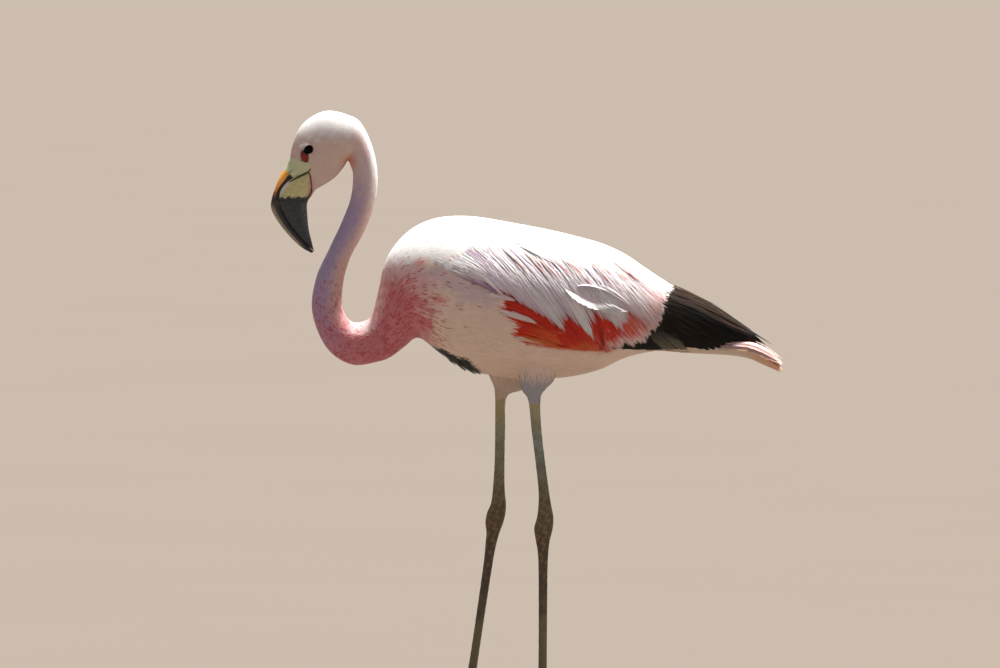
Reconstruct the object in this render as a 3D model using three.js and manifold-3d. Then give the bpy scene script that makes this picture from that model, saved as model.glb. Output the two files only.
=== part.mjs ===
// A life-size Andean flamingo, standing with its neck in a low S and its bill pointing down.
// Millimetres, +Z up. The bird faces -X, its left side is -Y, and it stands on the floor, z = 0.
// The feathered body is one loft from the face to the wing tips, parted by thin cuts into its
// named pieces, so every piece shares one true outline.
import * as THREE from "three";
import { mergeVertices } from "three/addons/utils/BufferGeometryUtils.js";
import Module from "manifold-3d";

const wasm = await Module();
wasm.setup();

// ---------------------------------------------------------------- driving dimensions

const CUT = 0.3; // the thin cut between two neighbouring pieces
const MIDLINE = 0.15; // half the cut that parts the left wing from the right
const EYE_RADIUS = 5.8;
const EYE_AT = { x: -273.2, y: 13.2, z: 708.6 }; // y is the distance from the midline

// Each row of a loft is a cross-section: the dorsal point (x, z), the ventral point (x, z), the half
// width, and how much wider the dorsal half is than the ventral one (0 is an even oval).

// From inside the base of the bill, over the crown, to the nape.
const HEAD_ROWS = [
  [-296.2, 686.2, -275.0, 657.5, 8.0, 0.1],
  [-296.9, 694.6, -267.6, 654.4, 11.6, 0.1],
  [-293.8, 712.5, -265.0, 657.8, 14.6, 0.24],
  [-285.0, 734.4, -258.1, 661.9, 16.6, 0.32],
  [-270.6, 748.4, -249.4, 667.1, 18.2, 0.34],
  [-250.6, 756.3, -239.4, 674.4, 19.4, 0.3],
  [-228.1, 752.5, -230.0, 685.6, 18.8, 0.2],
  [-208.8, 741.9, -224.4, 694.4, 17.2, 0.1],
];

// From the nape down the S of the neck to where it enters the breast.
const NECK_ROWS = [
  [-193.8, 711.2, -221.9, 690.6, 15.4, 0],
  [-187.5, 676.2, -217.9, 675.0, 14.2, 0],
  [-190.9, 641.2, -221.2, 646.2, 13.8, 0],
  [-203.8, 606.2, -232.9, 615.6, 13.4, 0],
  [-221.2, 573.8, -246.9, 586.2, 13.2, 0],
  [-230.4, 541.2, -263.8, 548.8, 15.0, 0],
  [-230.6, 508.8, -269.0, 505.0, 17.6, 0],
  [-221.2, 494.0, -251.2, 460.6, 20.4, 0],
  [-208.1, 492.2, -220.0, 439.5, 23.0, 0],
];

// From the base of the neck along the closed body and wings to the tips of the flight feathers.
const TRUNK_ROWS = [
  [-195.0, 501.2, -185.6, 443.4, 25.5, -0.06],
  [-186.2, 532.5, -169.4, 450.0, 34.0, -0.08],
  [-180.0, 561.2, -153.1, 462.5, 46.0, -0.06],
  [-168.1, 585.6, -136.9, 473.4, 58.0, -0.02],
  [-146.9, 607.5, -116.9, 460.0, 69.0, 0.02],
  [-119.4, 620.9, -91.9, 442.5, 77.5, 0.05],
  [-89.4, 625.0, -66.9, 431.2, 83.0, 0.06],
  [-56.9, 623.1, -41.9, 425.6, 85.5, 0.06],
  [-19.4, 616.5, -11.9, 421.9, 85.0, 0.06],
  [21.9, 608.8, 21.9, 421.9, 81.5, 0.06],
  [59.4, 600.0, 56.9, 425.0, 76.5, 0.05],
  [94.4, 590.0, 90.6, 433.5, 70.5, 0.03],
  [125.6, 575.2, 120.6, 447.5, 63.5, 0],
  [153.1, 555.6, 150.6, 455.0, 56.0, 0],
  [175.6, 541.2, 175.6, 457.5, 49.0, 0],
  [203.1, 528.8, 203.1, 457.5, 41.0, 0],
  [235.6, 511.9, 235.6, 454.2, 32.0, 0],
  [261.9, 494.4, 261.9, 464.4, 21.5, 0],
  [286.9, 477.0, 286.9, 466.0, 12.5, 0],
  [305.0, 465.6, 305.0, 462.4, 5.0, 0],
];

// The body under the folded wings, from inside the breast to the root of the tail.
const CORE_ROWS = [
  [-146.9, 596.0, -116.9, 461.5, 56.0, 0],
  [-119.4, 612.0, -91.9, 444.0, 64.5, 0],
  [-89.4, 617.0, -66.9, 432.7, 70.0, 0],
  [-56.9, 614.0, -41.9, 427.1, 72.5, 0],
  [-19.4, 606.0, -11.9, 423.4, 72.0, 0],
  [21.9, 594.0, 21.9, 423.4, 68.5, 0],
  [59.4, 581.0, 56.9, 426.5, 63.5, 0],
  [94.4, 566.0, 90.6, 435.0, 57.0, 0],
  [125.6, 547.0, 120.6, 448.6, 49.5, 0],
  [153.1, 525.0, 150.6, 455.0, 41.5, 0],
  [175.6, 508.0, 175.6, 457.5, 34.0, 0],
  [203.1, 489.0, 203.1, 457.0, 26.0, 0],
  [231.2, 471.9, 231.2, 454.0, 19.0, 0],
];

// The closed tail, drooping a little towards its tip.
const TAIL_ROWS = [
  [231.2, 471.9, 231.2, 454.0, 19.0, 0],
  [253.0, 469.5, 252.0, 452.8, 22.5, 0],
  [279.0, 467.5, 276.0, 449.0, 26.0, 0],
  [302.0, 459.0, 297.0, 441.2, 28.0, 0],
  [313.0, 452.0, 308.4, 437.0, 24.0, 0],
  [319.6, 446.6, 315.6, 436.4, 14.0, 0],
];

// Upper mandible: the ridge of the bill (x, z), then the mouth line (x, z), from the face to the tip.
const UPPER_BILL_ROWS = [
  [-297.2, 694.6, -271.2, 682.8, 12.9, -0.1],
  [-304.4, 683.8, -285.0, 676.6, 12.4, -0.1],
  [-310.6, 671.9, -297.6, 668.8, 10.4, 0],
  [-315.6, 659.4, -306.4, 657.2, 8.4, 0],
  [-319.4, 647.5, -309.2, 646.4, 7.8, 0],
  [-320.6, 636.2, -308.2, 636.8, 7.6, 0],
  [-316.2, 625.0, -304.6, 628.6, 7.2, 0],
  [-306.2, 610.2, -297.2, 615.2, 6.6, 0],
  [-293.1, 595.2, -286.2, 601.2, 5.6, 0],
  [-280.6, 584.6, -276.2, 589.4, 4.2, 0],
  [-269.4, 578.6, -267.6, 580.8, 2.2, 0],
];

// Lower mandible: the mouth line (x, z), then the keel (x, z), from the face to the tip.
const LOWER_BILL_ROWS = [
  [-270.8, 680.6, -267.9, 653.6, 13.0, 0.1],
  [-284.4, 674.6, -269.6, 650.2, 13.2, 0.1],
  [-296.4, 666.8, -273.0, 646.4, 12.8, 0.1],
  [-304.8, 656.4, -275.2, 641.0, 12.2, 0.1],
  [-307.8, 645.8, -275.6, 634.4, 11.8, 0.1],
  [-306.8, 636.0, -275.0, 625.4, 11.2, 0.1],
  [-303.0, 627.4, -274.2, 615.4, 10.4, 0.1],
  [-295.6, 614.0, -272.6, 604.6, 8.8, 0.1],
  [-284.8, 600.2, -270.0, 594.6, 6.8, 0.05],
  [-275.0, 588.8, -267.9, 585.8, 4.6, 0],
  [-267.2, 581.6, -266.2, 580.4, 2.0, 0],
];

// The folded wing seen from the side (x, z): the shoulder, the lower edge, where it ends over the
// flight feathers, and then clear over the back.
const WING_OUTLINE = [
  [-131.0, 566.0],
  [-72.0, 546.0],
  [-34.0, 530.0],
  [-18.0, 492.0],
  [16.0, 468.0],
  [60.0, 459.5],
  [98.0, 457.5],
  [140.0, 469.0],
  [162.0, 484.0],
  [170.0, 501.0],
  [169.0, 524.0],
  [193.0, 534.0],
  [193.0, 700.0],
  [-131.0, 700.0],
];
// The same wing seen from above (x, distance from the midline), with the mantle left bare in front.
const WING_PLAN = [
  [-140.0, 150.0],
  [-140.0, 66.0],
  [-60.0, 36.0],
  [20.0, 6.0],
  [60.0, MIDLINE],
  [200.0, MIDLINE],
  [200.0, 150.0],
];
// The flight feathers seen from the side: all that lies behind the wing and above the rump.
const FLIGHT_OUTLINE = [
  [98.0, 457.0],
  [320.0, 455.5],
  [320.0, 700.0],
  [193.3, 700.0],
  [193.3, 533.7],
  [169.3, 523.8],
  [170.3, 501.0],
  [162.2, 483.7],
  [140.2, 468.7],
];

// A leg from the feathered thigh to the foot: the back edge (x, z) and the front edge (x, z), the
// half width, how much wider the back half is than the front one, and the distance from the midline.
const LEFT_LEG = {
  name: "left",
  side: -1,
  thigh: [
    [38.0, 470.0, -24.0, 470.0, 23.0, 0, 31.0],
    [37.0, 438.0, -15.0, 438.0, 21.0, 0, 29.5],
    [33.0, 421.0, -9.0, 421.0, 17.5, 0, 28.0],
    [20.5, 407.5, -6.5, 407.5, 12.0, 0, 27.0],
    [16.0, 396.0, 0.4, 396.0, 7.4, 0, 26.0],
  ],
  shank: [
    [15.6, 397.0, 1.8, 397.0, 5.8, 0, 26.0],
    [17.6, 357.5, 5.2, 357.5, 5.4, 0, 24.0],
    [22.6, 313.8, 10.6, 313.8, 5.4, 0, 21.4],
    [26.8, 282.5, 13.8, 282.5, 6.0, 0, 19.6],
    [29.8, 263.8, 13.6, 263.8, 7.8, 0, 18.6],
    [32.4, 249.6, 12.2, 249.6, 9.2, 0, 17.8],
  ],
  tarsus: [
    [32.4, 249.2, 11.8, 249.2, 9.2, 0, 17.8],
    [31.6, 235.0, 8.4, 235.0, 8.8, 0, 17.2],
    [28.0, 220.0, 10.4, 220.0, 6.8, 0, 16.4],
    [26.2, 205.0, 12.8, 205.0, 5.4, 0, 15.6],
    [25.2, 182.5, 13.8, 182.5, 4.7, 0, 14.4],
    [24.6, 120.0, 14.0, 120.0, 4.5, 0, 11.0],
    [24.4, 57.5, 13.6, 57.5, 4.7, 0, 8.0],
    [25.4, 24.0, 12.2, 24.0, 6.4, 0, 6.5],
  ],
  foot: { x: 18.0, y: 5.6, yaw: 2 },
};
const RIGHT_LEG = {
  name: "right",
  side: 1,
  thigh: [
    [0.0, 470.0, -58.0, 470.0, 23.0, 0, 31.0],
    [0.0, 438.0, -53.0, 438.0, 21.0, 0, 31.0],
    [-6.0, 422.5, -48.0, 422.5, 17.5, 0, 31.5],
    [-18.0, 411.0, -43.0, 411.0, 12.0, 0, 32.0],
    [-25.6, 401.0, -41.0, 401.0, 7.4, 0, 32.4],
  ],
  shank: [
    [-26.2, 402.0, -39.8, 402.0, 5.8, 0, 32.4],
    [-27.8, 357.5, -40.4, 357.5, 5.4, 0, 33.4],
    [-28.6, 313.8, -41.2, 313.8, 5.4, 0, 34.4],
    [-28.4, 282.5, -43.2, 282.5, 6.0, 0, 35.2],
    [-26.8, 263.8, -45.6, 263.8, 7.8, 0, 35.6],
    [-27.2, 252.0, -50.4, 252.0, 9.2, 0, 35.8],
  ],
  tarsus: [
    [-27.4, 251.6, -50.6, 251.6, 9.2, 0, 35.8],
    [-30.0, 240.0, -52.6, 240.0, 8.8, 0, 36.0],
    [-35.0, 226.2, -51.4, 226.2, 6.8, 0, 36.4],
    [-39.4, 210.0, -52.8, 210.0, 5.4, 0, 36.8],
    [-43.6, 187.5, -55.0, 187.5, 4.7, 0, 37.2],
    [-53.0, 126.2, -63.6, 126.2, 4.5, 0, 38.4],
    [-62.2, 63.8, -73.0, 63.8, 4.7, 0, 39.6],
    [-66.4, 25.0, -79.6, 25.0, 6.4, 0, 40.2],
  ],
  foot: { x: -74.0, y: 40.8, yaw: -3 },
};

// The foot: three webbed toes and no hind toe. Lengths run from the middle of the joint, and a
// spread is the angle from straight ahead, towards the outer side of the foot.
const TOES = [
  { name: "inner", length: 62, spread: -33, root: 4.4, tip: 2.9 },
  { name: "middle", length: 78, spread: 0, root: 5.0, tip: 3.1 },
  { name: "outer", length: 68, spread: 31, root: 4.4, tip: 2.9 },
];
const TOE_HEIGHT = 8.2; // at its root
const TOE_TIP_HEIGHT = 5.4;
const TOE_SINK = 0.28; // how far a toe's oval reaches below the floor, of its height: its flat sole
const KNUCKLE = { height: 26, radius: 7.4 }; // the end of the tarsus, where the toes meet
const WEB_THICKNESS = 2.0;
const WEB_REACH = 0.8; // the share of a toe that the web follows
const WEB_NOTCH = 0.62; // how far along the toes the web's hollow edge comes
const CLAW = { length: 9, root: 2.3, tip: 0.6, rise: 1.2 };

const SIDES = { head: 20, neck: 14, trunk: 22, bill: 14, leg: 10, tail: 14, toe: 8 };
const STEPS = { head: 2, neck: 2, trunk: 1.5, bill: 1, leg: 2, tail: 2 }; // rings to each row
const BOXY = 0.9; // the power of a section's corners: 1 is an ellipse, less is boxier

// ---------------------------------------------------------------- materials

const MATERIALS = {
  down: new THREE.MeshStandardMaterial({ color: 0xf3dcd8, roughness: 0.9 }),
  neck: new THREE.MeshStandardMaterial({ color: 0xc98f96, roughness: 0.9 }),
  wing: new THREE.MeshStandardMaterial({ color: 0xe8bfc0, roughness: 0.85 }),
  flight: new THREE.MeshStandardMaterial({ color: 0x1d1817, roughness: 0.6 }),
  billPale: new THREE.MeshStandardMaterial({ color: 0xc4b878, roughness: 0.45 }),
  billDark: new THREE.MeshStandardMaterial({ color: 0x2a2826, roughness: 0.4 }),
  eye: new THREE.MeshStandardMaterial({ color: 0x120c0a, roughness: 0.08 }),
  leg: new THREE.MeshStandardMaterial({ color: 0xa3904f, roughness: 0.6 }),
  claw: new THREE.MeshStandardMaterial({ color: 0x2b2622, roughness: 0.5 }),
};

// ---------------------------------------------------------------- lofts

/** The row at place t of a table, where t counts rows, by a Catmull-Rom curve through them. */
function rowAt(rows, t) {
  const last = rows.length - 1;
  const i = Math.min(Math.floor(t), last - 1);
  const f = t - i;
  const pick = (k) => rows[Math.min(Math.max(k, 0), last)];
  const [a, b, c, d] = [pick(i - 1), pick(i), pick(i + 1), pick(i + 2)];
  return b.map((value, k) => {
    const slopeIn = (c[k] - a[k]) / 2;
    const slopeOut = (d[k] - b[k]) / 2;
    const rise = c[k] - value;
    const cubic = slopeIn + slopeOut - 2 * rise;
    return value + f * (slopeIn + f * (rise - slopeIn - cubic + f * cubic));
  });
}

/** A power that keeps its sign, for the boxy ovals. */
const signedPower = (value, power) => Math.sign(value) * Math.abs(value) ** power;

/** One closed cross-section as points, grown outwards by a margin. */
function ring(row, sides, margin = 0) {
  const [dx, dz, vx, vz, halfWidth, egg, offset = 0] = row;
  const up = new THREE.Vector3((dx - vx) / 2, 0, (dz - vz) / 2);
  const centre = new THREE.Vector3((dx + vx) / 2, offset, (dz + vz) / 2);
  up.setLength(up.length() + margin);
  return Array.from({ length: sides }, (_, k) => {
    const angle = (2 * Math.PI * k) / sides;
    const [across, along] = [Math.cos(angle), Math.sin(angle)].map((v) => signedPower(v, BOXY));
    const point = centre.clone().addScaledVector(up, along);
    point.y += (halfWidth + margin) * across * (1 + egg * along);
    return point;
  });
}

/** A closed mesh over a chain of rings, with a fan over each end. */
function skinOver(rings) {
  const sides = rings[0].length;
  const points = rings.flat();
  const ends = [rings[0], rings[rings.length - 1]].map((r) =>
    r.reduce((sum, p) => sum.add(p), new THREE.Vector3()).divideScalar(sides),
  );
  const faces = [];
  for (let r = 0; r + 1 < rings.length; r++) {
    for (let k = 0; k < sides; k++) {
      const a = r * sides + k;
      const b = r * sides + ((k + 1) % sides);
      faces.push(a, b, a + sides, b, b + sides, a + sides);
    }
  }
  const first = points.length;
  const lastRing = (rings.length - 1) * sides;
  for (let k = 0; k < sides; k++) {
    const next = (k + 1) % sides;
    faces.push(first, next, k, first + 1, lastRing + k, lastRing + next);
  }
  const geometry = new THREE.BufferGeometry();
  geometry.setAttribute("position", new THREE.BufferAttribute(
    new Float32Array([...points, ...ends].flatMap((p) => [p.x, p.y, p.z])), 3));
  geometry.setIndex(faces);
  return geometry;
}

/** The solid inside a closed mesh, turned the right way out. */
function solid(geometry) {
  const bare = new THREE.BufferGeometry(); // positions only, so that shared corners merge
  bare.setAttribute("position", geometry.getAttribute("position"));
  bare.setIndex(geometry.getIndex());
  const merged = mergeVertices(bare, 1e-4);
  const corners = new Uint32Array(merged.getIndex().array);
  const build = () => new wasm.Manifold(new wasm.Mesh({
    numProp: 3,
    vertProperties: new Float32Array(merged.getAttribute("position").array),
    triVerts: corners,
  }));
  const made = build();
  if (made.volume() > 0) return made;
  for (let i = 0; i < corners.length; i += 3) {
    [corners[i + 1], corners[i + 2]] = [corners[i + 2], corners[i + 1]];
  }
  return build();
}

/** The surface lofted over a table's rows between two places, which count rows. */
function loftFaces(rows, sides, perRow, { from = 0, to = rows.length - 1, margin = 0 } = {}) {
  const steps = Math.max(1, Math.round((to - from) * perRow));
  const rings = Array.from({ length: steps + 1 }, (_, k) =>
    ring(rowAt(rows, from + ((to - from) * k) / steps), sides, margin));
  return skinOver(rings);
}

/** The solid inside such a surface. */
const loft = (rows, sides, perRow, range) => solid(loftFaces(rows, sides, perRow, range));

/** A flat outline made into a plate of some depth, lying on the XY plane. */
function plate(points, depth) {
  const shape = new THREE.Shape(points.map(([x, y]) => new THREE.Vector2(x, y)));
  return new THREE.ExtrudeGeometry(shape, { depth, bevelEnabled: false });
}

/** A prism over an outline in the XZ plane, between two distances along Y. */
function sidePrism(outline, nearY, farY) {
  const geometry = plate(outline, farY - nearY);
  geometry.rotateX(Math.PI / 2);
  geometry.translate(0, farY, 0);
  return solid(geometry);
}

/** A prism over an outline in the XY plane, from the floor to well over the bird. */
const planPrism = (outline) => solid(plate(outline, 900));

/** An outline moved outwards by about a cut's width, with its corners mitred. */
function grown(outline, by = CUT) {
  const turn = windingOf(outline);
  const outward = ([ax, az], [bx, bz]) =>
    new THREE.Vector2(turn * (bz - az), turn * (ax - bx)).normalize();
  return outline.map((corner, i) => {
    const before = outward(outline[(i + outline.length - 1) % outline.length], corner);
    const after = outward(corner, outline[(i + 1) % outline.length]);
    const mitre = before.clone().add(after).multiplyScalar(by / (1 + before.dot(after)));
    return [corner[0] + mitre.x, corner[1] + mitre.y];
  });
}

/** 1 for an outline that runs anticlockwise, -1 for a clockwise one. */
function windingOf(outline) {
  return Math.sign(THREE.ShapeUtils.area(outline.map(([x, y]) => new THREE.Vector2(x, y))));
}

const mirrored = (outline, side) => outline.map(([x, y]) => [x, side * y]);

/** The largest connected piece of a solid, without the slivers that a cut may leave. */
function main(piece) {
  const bodies = piece.decompose();
  return bodies.reduce((best, b) => (b.volume() > best.volume() ? b : best));
}

/** The faces of a solid as a geometry. */
function facesOf(piece) {
  const { vertProperties, triVerts } = piece.getMesh();
  const geometry = new THREE.BufferGeometry();
  geometry.setAttribute("position",
    new THREE.BufferAttribute(new Float32Array(vertProperties), 3));
  geometry.setIndex(new THREE.BufferAttribute(new Uint32Array(triVerts), 1));
  return geometry;
}

/** A named mesh of a solid. */
function meshOf(name, piece, material) {
  const geometry = facesOf(main(piece));
  geometry.computeVertexNormals();
  const mesh = new THREE.Mesh(geometry, material);
  mesh.name = name;
  return mesh;
}

// ---------------------------------------------------------------- head, bill and eyes

/** Both mandibles, grown by a margin where they are to cut the face. */
function bill(margin = 0) {
  return {
    upper: loft(UPPER_BILL_ROWS, SIDES.bill, STEPS.bill, { margin }),
    lower: loft(LOWER_BILL_ROWS, SIDES.bill, STEPS.bill, { margin }),
  };
}

/** One eye, a ball that stands a little out of the head. */
function eyeBall(side, margin = 0) {
  const ball = new THREE.SphereGeometry(EYE_RADIUS + margin, 12, 8);
  ball.translate(EYE_AT.x, side * EYE_AT.y, EYE_AT.z);
  return solid(ball);
}

function headPieces() {
  const { upper, lower } = bill();
  const mouth = bill(CUT);
  let head = loft([...HEAD_ROWS, NECK_ROWS[0]], SIDES.head, STEPS.head);
  head = head.subtract(mouth.upper).subtract(mouth.lower);
  for (const side of [-1, 1]) head = head.subtract(eyeBall(side, CUT));
  return [
    meshOf("head", head, MATERIALS.down),
    meshOf("upper_bill", upper.subtract(mouth.lower), MATERIALS.billDark),
    meshOf("lower_bill", lower, MATERIALS.billPale),
    meshOf("eye_left", eyeBall(-1), MATERIALS.eye),
    meshOf("eye_right", eyeBall(1), MATERIALS.eye),
  ];
}

// ---------------------------------------------------------------- neck

/** The neck in three lengths, each with its cut of the gap that parts it from the next. */
function neckPieces() {
  const rows = [...NECK_ROWS, TRUNK_ROWS[0]];
  const gap = 0.012; // of a row, which is about the width of a cut
  const ends = [gap, 3, 6, rows.length - 1];
  return ["neck_upper", "neck_middle", "neck_lower"].map((name, i) => {
    const piece = loft(rows, SIDES.neck, STEPS.neck, { from: ends[i], to: ends[i + 1] - gap });
    return meshOf(name, piece, MATERIALS.neck);
  });
}

// ---------------------------------------------------------------- trunk, wings and tail

function trunkPieces() {
  const outer = loft(TRUNK_ROWS, SIDES.trunk, STEPS.trunk);
  const core = loft(CORE_ROWS, SIDES.trunk, 1);
  const coreGrown = loft(CORE_ROWS, SIDES.trunk, 1, { margin: CUT });
  const tail = loft(TAIL_ROWS, SIDES.tail, STEPS.tail, { from: 0.015 });
  const tailGrown = loft(TAIL_ROWS, SIDES.tail, STEPS.tail, { margin: CUT });
  const wide = 150;
  let trunk = outer;
  const pieces = [];
  for (const [name, side] of [["left", -1], ["right", 1]]) {
    const [near, far] = side < 0 ? [-wide, -MIDLINE] : [MIDLINE, wide];
    const plan = planPrism(mirrored(WING_PLAN, side));
    const planGrown = planPrism(mirrored(grown(WING_PLAN), side));
    const wing = outer.intersect(sidePrism(WING_OUTLINE, near, far)).intersect(plan);
    const flight = outer.intersect(sidePrism(FLIGHT_OUTLINE, near, far));
    pieces.push(
      meshOf(`wing_${name}`, wing.subtract(coreGrown), MATERIALS.wing),
      meshOf(`flight_feathers_${name}`, flight.subtract(coreGrown).subtract(tailGrown),
        MATERIALS.flight),
    );
    trunk = trunk
      .subtract(sidePrism(grown(WING_OUTLINE), side < 0 ? near : 0, side < 0 ? 0 : far)
        .intersect(planGrown))
      .subtract(sidePrism(grown(FLIGHT_OUTLINE), side < 0 ? near : 0, side < 0 ? 0 : far));
  }
  pieces.push(meshOf("tail", tail, MATERIALS.wing));
  return { trunk: main(trunk).add(core), pieces };
}

// ---------------------------------------------------------------- legs and feet

/** A leg's rows on the bird's left or right: the distance from the midline gets its sign. */
const onSide = (rows, side) => rows.map((row) => row.with(6, side * row[6]));

/** The part of a solid that is above the floor. */
function aboveFloor(piece) {
  const size = 1200;
  const box = new THREE.BoxGeometry(size, size, size);
  box.translate(0, 0, size / 2);
  return piece.intersect(solid(box));
}

/** A toe's faces, turned to its own spread. It sinks a little below the floor, for a flat sole. */
function toe({ length, root, tip, spread }) {
  const rows = [0, 0.3, 0.6, 0.9, 1].map((share) => {
    const blunt = share === 1 ? 0.75 : 1;
    const half = THREE.MathUtils.lerp(root, tip, share) * blunt;
    const height = THREE.MathUtils.lerp(TOE_HEIGHT, TOE_TIP_HEIGHT, share) * blunt;
    return [length * share, height, length * share, -height * TOE_SINK, half, -0.1];
  });
  return loftFaces(rows, SIDES.toe, 1).rotateZ(THREE.MathUtils.degToRad(spread));
}

/** The claw beyond a toe's tip, turned with it. */
function claw({ length, tip, spread }) {
  const rows = [0, 0.5, 1].map((share) => {
    const half = THREE.MathUtils.lerp(CLAW.root, CLAW.tip, share);
    const x = length + CUT + CLAW.length * share;
    const middle = THREE.MathUtils.lerp(tip, CLAW.rise, share);
    return [x, middle + half, x, Math.max(middle - half, CUT), half, 0];
  });
  return loftFaces(rows, SIDES.toe, 1).rotateZ(THREE.MathUtils.degToRad(spread));
}

/** The web between two toes: a thin plate whose front edge is hollowed between them. */
function web(a, b) {
  const at = (one, share) => {
    const angle = THREE.MathUtils.degToRad(one.spread);
    return [one.length * share * Math.cos(angle), one.length * share * Math.sin(angle)];
  };
  const middle = at({ length: (a.length + b.length) / 2, spread: (a.spread + b.spread) / 2 },
    WEB_NOTCH);
  const edge = new THREE.QuadraticBezierCurve(
    new THREE.Vector2(...at(a, WEB_REACH)),
    new THREE.Vector2(...middle),
    new THREE.Vector2(...at(b, WEB_REACH)),
  ).getPoints(6);
  return plate([[0, 0], ...edge.map((p) => [p.x, p.y])], WEB_THICKNESS);
}

/** Faces drawn along +X with the outer side at +Y, put where one foot stands, facing -X. */
function placed(geometry, side, { x, y, yaw }) {
  const move = new THREE.Matrix4().makeTranslation(x, side * y, 0)
    .multiply(new THREE.Matrix4().makeScale(-1, side, 1))
    .multiply(new THREE.Matrix4().makeRotationZ(THREE.MathUtils.degToRad(yaw)));
  return solid(geometry.applyMatrix4(move));
}

function legPieces(leg) {
  const { name, side, foot } = leg;
  const [thighRows, shankRows, tarsusRows] = [leg.thigh, leg.shank, leg.tarsus]
    .map((rows) => onSide(rows, side));
  const [inner, middle, outer] = TOES;
  const sole = [knuckle(), web(inner, middle), web(middle, outer), ...TOES.map(toe)]
    .map((geometry) => placed(geometry, side, foot))
    .reduce((joined, piece) => joined.add(piece));
  const tarsus = loft(tarsusRows, SIDES.leg, STEPS.leg);
  const tarsusGrown = loft(tarsusRows, SIDES.leg, STEPS.leg, { margin: CUT });
  const shank = loft(shankRows, SIDES.leg, STEPS.leg);
  const shankGrown = loft(shankRows, SIDES.leg, STEPS.leg, { margin: CUT });
  return {
    thigh: loft(thighRows, SIDES.leg, STEPS.leg).subtract(shankGrown),
    thighName: `thigh_${name}`,
    pieces: [
      meshOf(`shank_${name}`, shank, MATERIALS.leg),
      meshOf(`tarsus_${name}`, tarsus, MATERIALS.leg),
      meshOf(`foot_${name}`, aboveFloor(sole).subtract(tarsusGrown), MATERIALS.leg),
      ...TOES.map((one) =>
        meshOf(`claw_${name}_${one.name}`, placed(claw(one), side, foot), MATERIALS.claw)),
    ],
  };
}

/** The rounded end of the tarsus, which stands on the floor. */
function knuckle() {
  const { height, radius } = KNUCKLE;
  const profile = [[0, 0], [0.9, 0], [1, 0.2], [1, 0.45], [0.86, 0.8], [0.6, 1], [0, 1]];
  const points = profile.map(([r, z]) => new THREE.Vector2(r * radius, z * height));
  return new THREE.LatheGeometry(points, SIDES.leg).rotateX(Math.PI / 2);
}

// ---------------------------------------------------------------- the bird

const flamingo = new THREE.Group();
flamingo.name = "flamingo";
flamingo.add(...headPieces(), ...neckPieces());

const { trunk, pieces } = trunkPieces();
flamingo.add(...pieces);

flamingo.add(meshOf("trunk", trunk, MATERIALS.down));
const outerBody = loft(TRUNK_ROWS, SIDES.trunk, STEPS.trunk, { margin: CUT });
for (const leg of [LEFT_LEG, RIGHT_LEG]) {
  const made = legPieces(leg);
  flamingo.add(meshOf(made.thighName, made.thigh.subtract(outerBody), MATERIALS.down));
  flamingo.add(...made.pieces);
}

// The origin is on the floor, below the middle of the bird's whole length and width.
const box = new THREE.Box3().setFromObject(flamingo);
flamingo.position.set(-(box.min.x + box.max.x) / 2, -(box.min.y + box.max.y) / 2, -box.min.z);

export default flamingo;
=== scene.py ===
"""A life-size Andean flamingo: skin, bill, eyes, legs and every layer of its plumage.

The shapes are surfaces worked out with numpy on the lofts that the solids are made from. The bird
faces -X, its left side is -Y and it stands on z = 0. Lofts and sizes are in millimetres in the
bird's own frame; a mesh is turned to metres, and moved to the frame's origin, when it is made.
"""

import logging
import math
from dataclasses import dataclass
from enum import Enum
from functools import cache
from typing import ClassVar

import bpy
import numpy as np
from numpy import clip, concatenate, cos, full, interp, linspace, maximum, sin, where
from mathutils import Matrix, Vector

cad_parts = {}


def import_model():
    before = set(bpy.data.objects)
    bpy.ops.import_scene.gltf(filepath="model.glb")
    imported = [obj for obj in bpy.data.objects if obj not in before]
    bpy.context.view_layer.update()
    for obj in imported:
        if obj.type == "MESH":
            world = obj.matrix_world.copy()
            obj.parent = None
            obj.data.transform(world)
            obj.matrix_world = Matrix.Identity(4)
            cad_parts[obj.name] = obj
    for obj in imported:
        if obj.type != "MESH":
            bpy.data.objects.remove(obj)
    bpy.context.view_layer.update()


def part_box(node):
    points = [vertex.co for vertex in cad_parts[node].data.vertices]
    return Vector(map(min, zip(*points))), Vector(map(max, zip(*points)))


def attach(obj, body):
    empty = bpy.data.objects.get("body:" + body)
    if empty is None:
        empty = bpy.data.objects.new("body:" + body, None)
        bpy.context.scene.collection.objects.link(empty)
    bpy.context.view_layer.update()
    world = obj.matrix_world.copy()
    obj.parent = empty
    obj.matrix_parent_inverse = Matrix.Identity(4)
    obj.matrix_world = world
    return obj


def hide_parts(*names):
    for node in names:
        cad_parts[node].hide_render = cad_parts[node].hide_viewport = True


Array = np.ndarray
Rng = np.random.Generator
Socket = bpy.types.NodeSocket
Spot = tuple[float, float]
Table = tuple[tuple[float, ...], tuple[float, ...]]  # keys and the values there
LOG = logging.getLogger("flamingo")

METRES = 0.001  # one millimetre
TURN = 2 * math.pi
BAKE_PATCH = 0.003  # the side of a feather's patch on the map that the coat is baked to
EYE_X = -273.2  # the eye's place along the bird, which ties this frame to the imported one
FEATHER_WHITE = 0.86  # how much of its colour code a feather gives back
PACKED = 0.58  # the gap within a row of short feathers, as a share of the one between rows
STEP = 1.25  # millimetres to one step of the grid that the plumage is laid out on
ORIGIN = (527.5, 716)  # the steps across and down where x and z are 0

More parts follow.
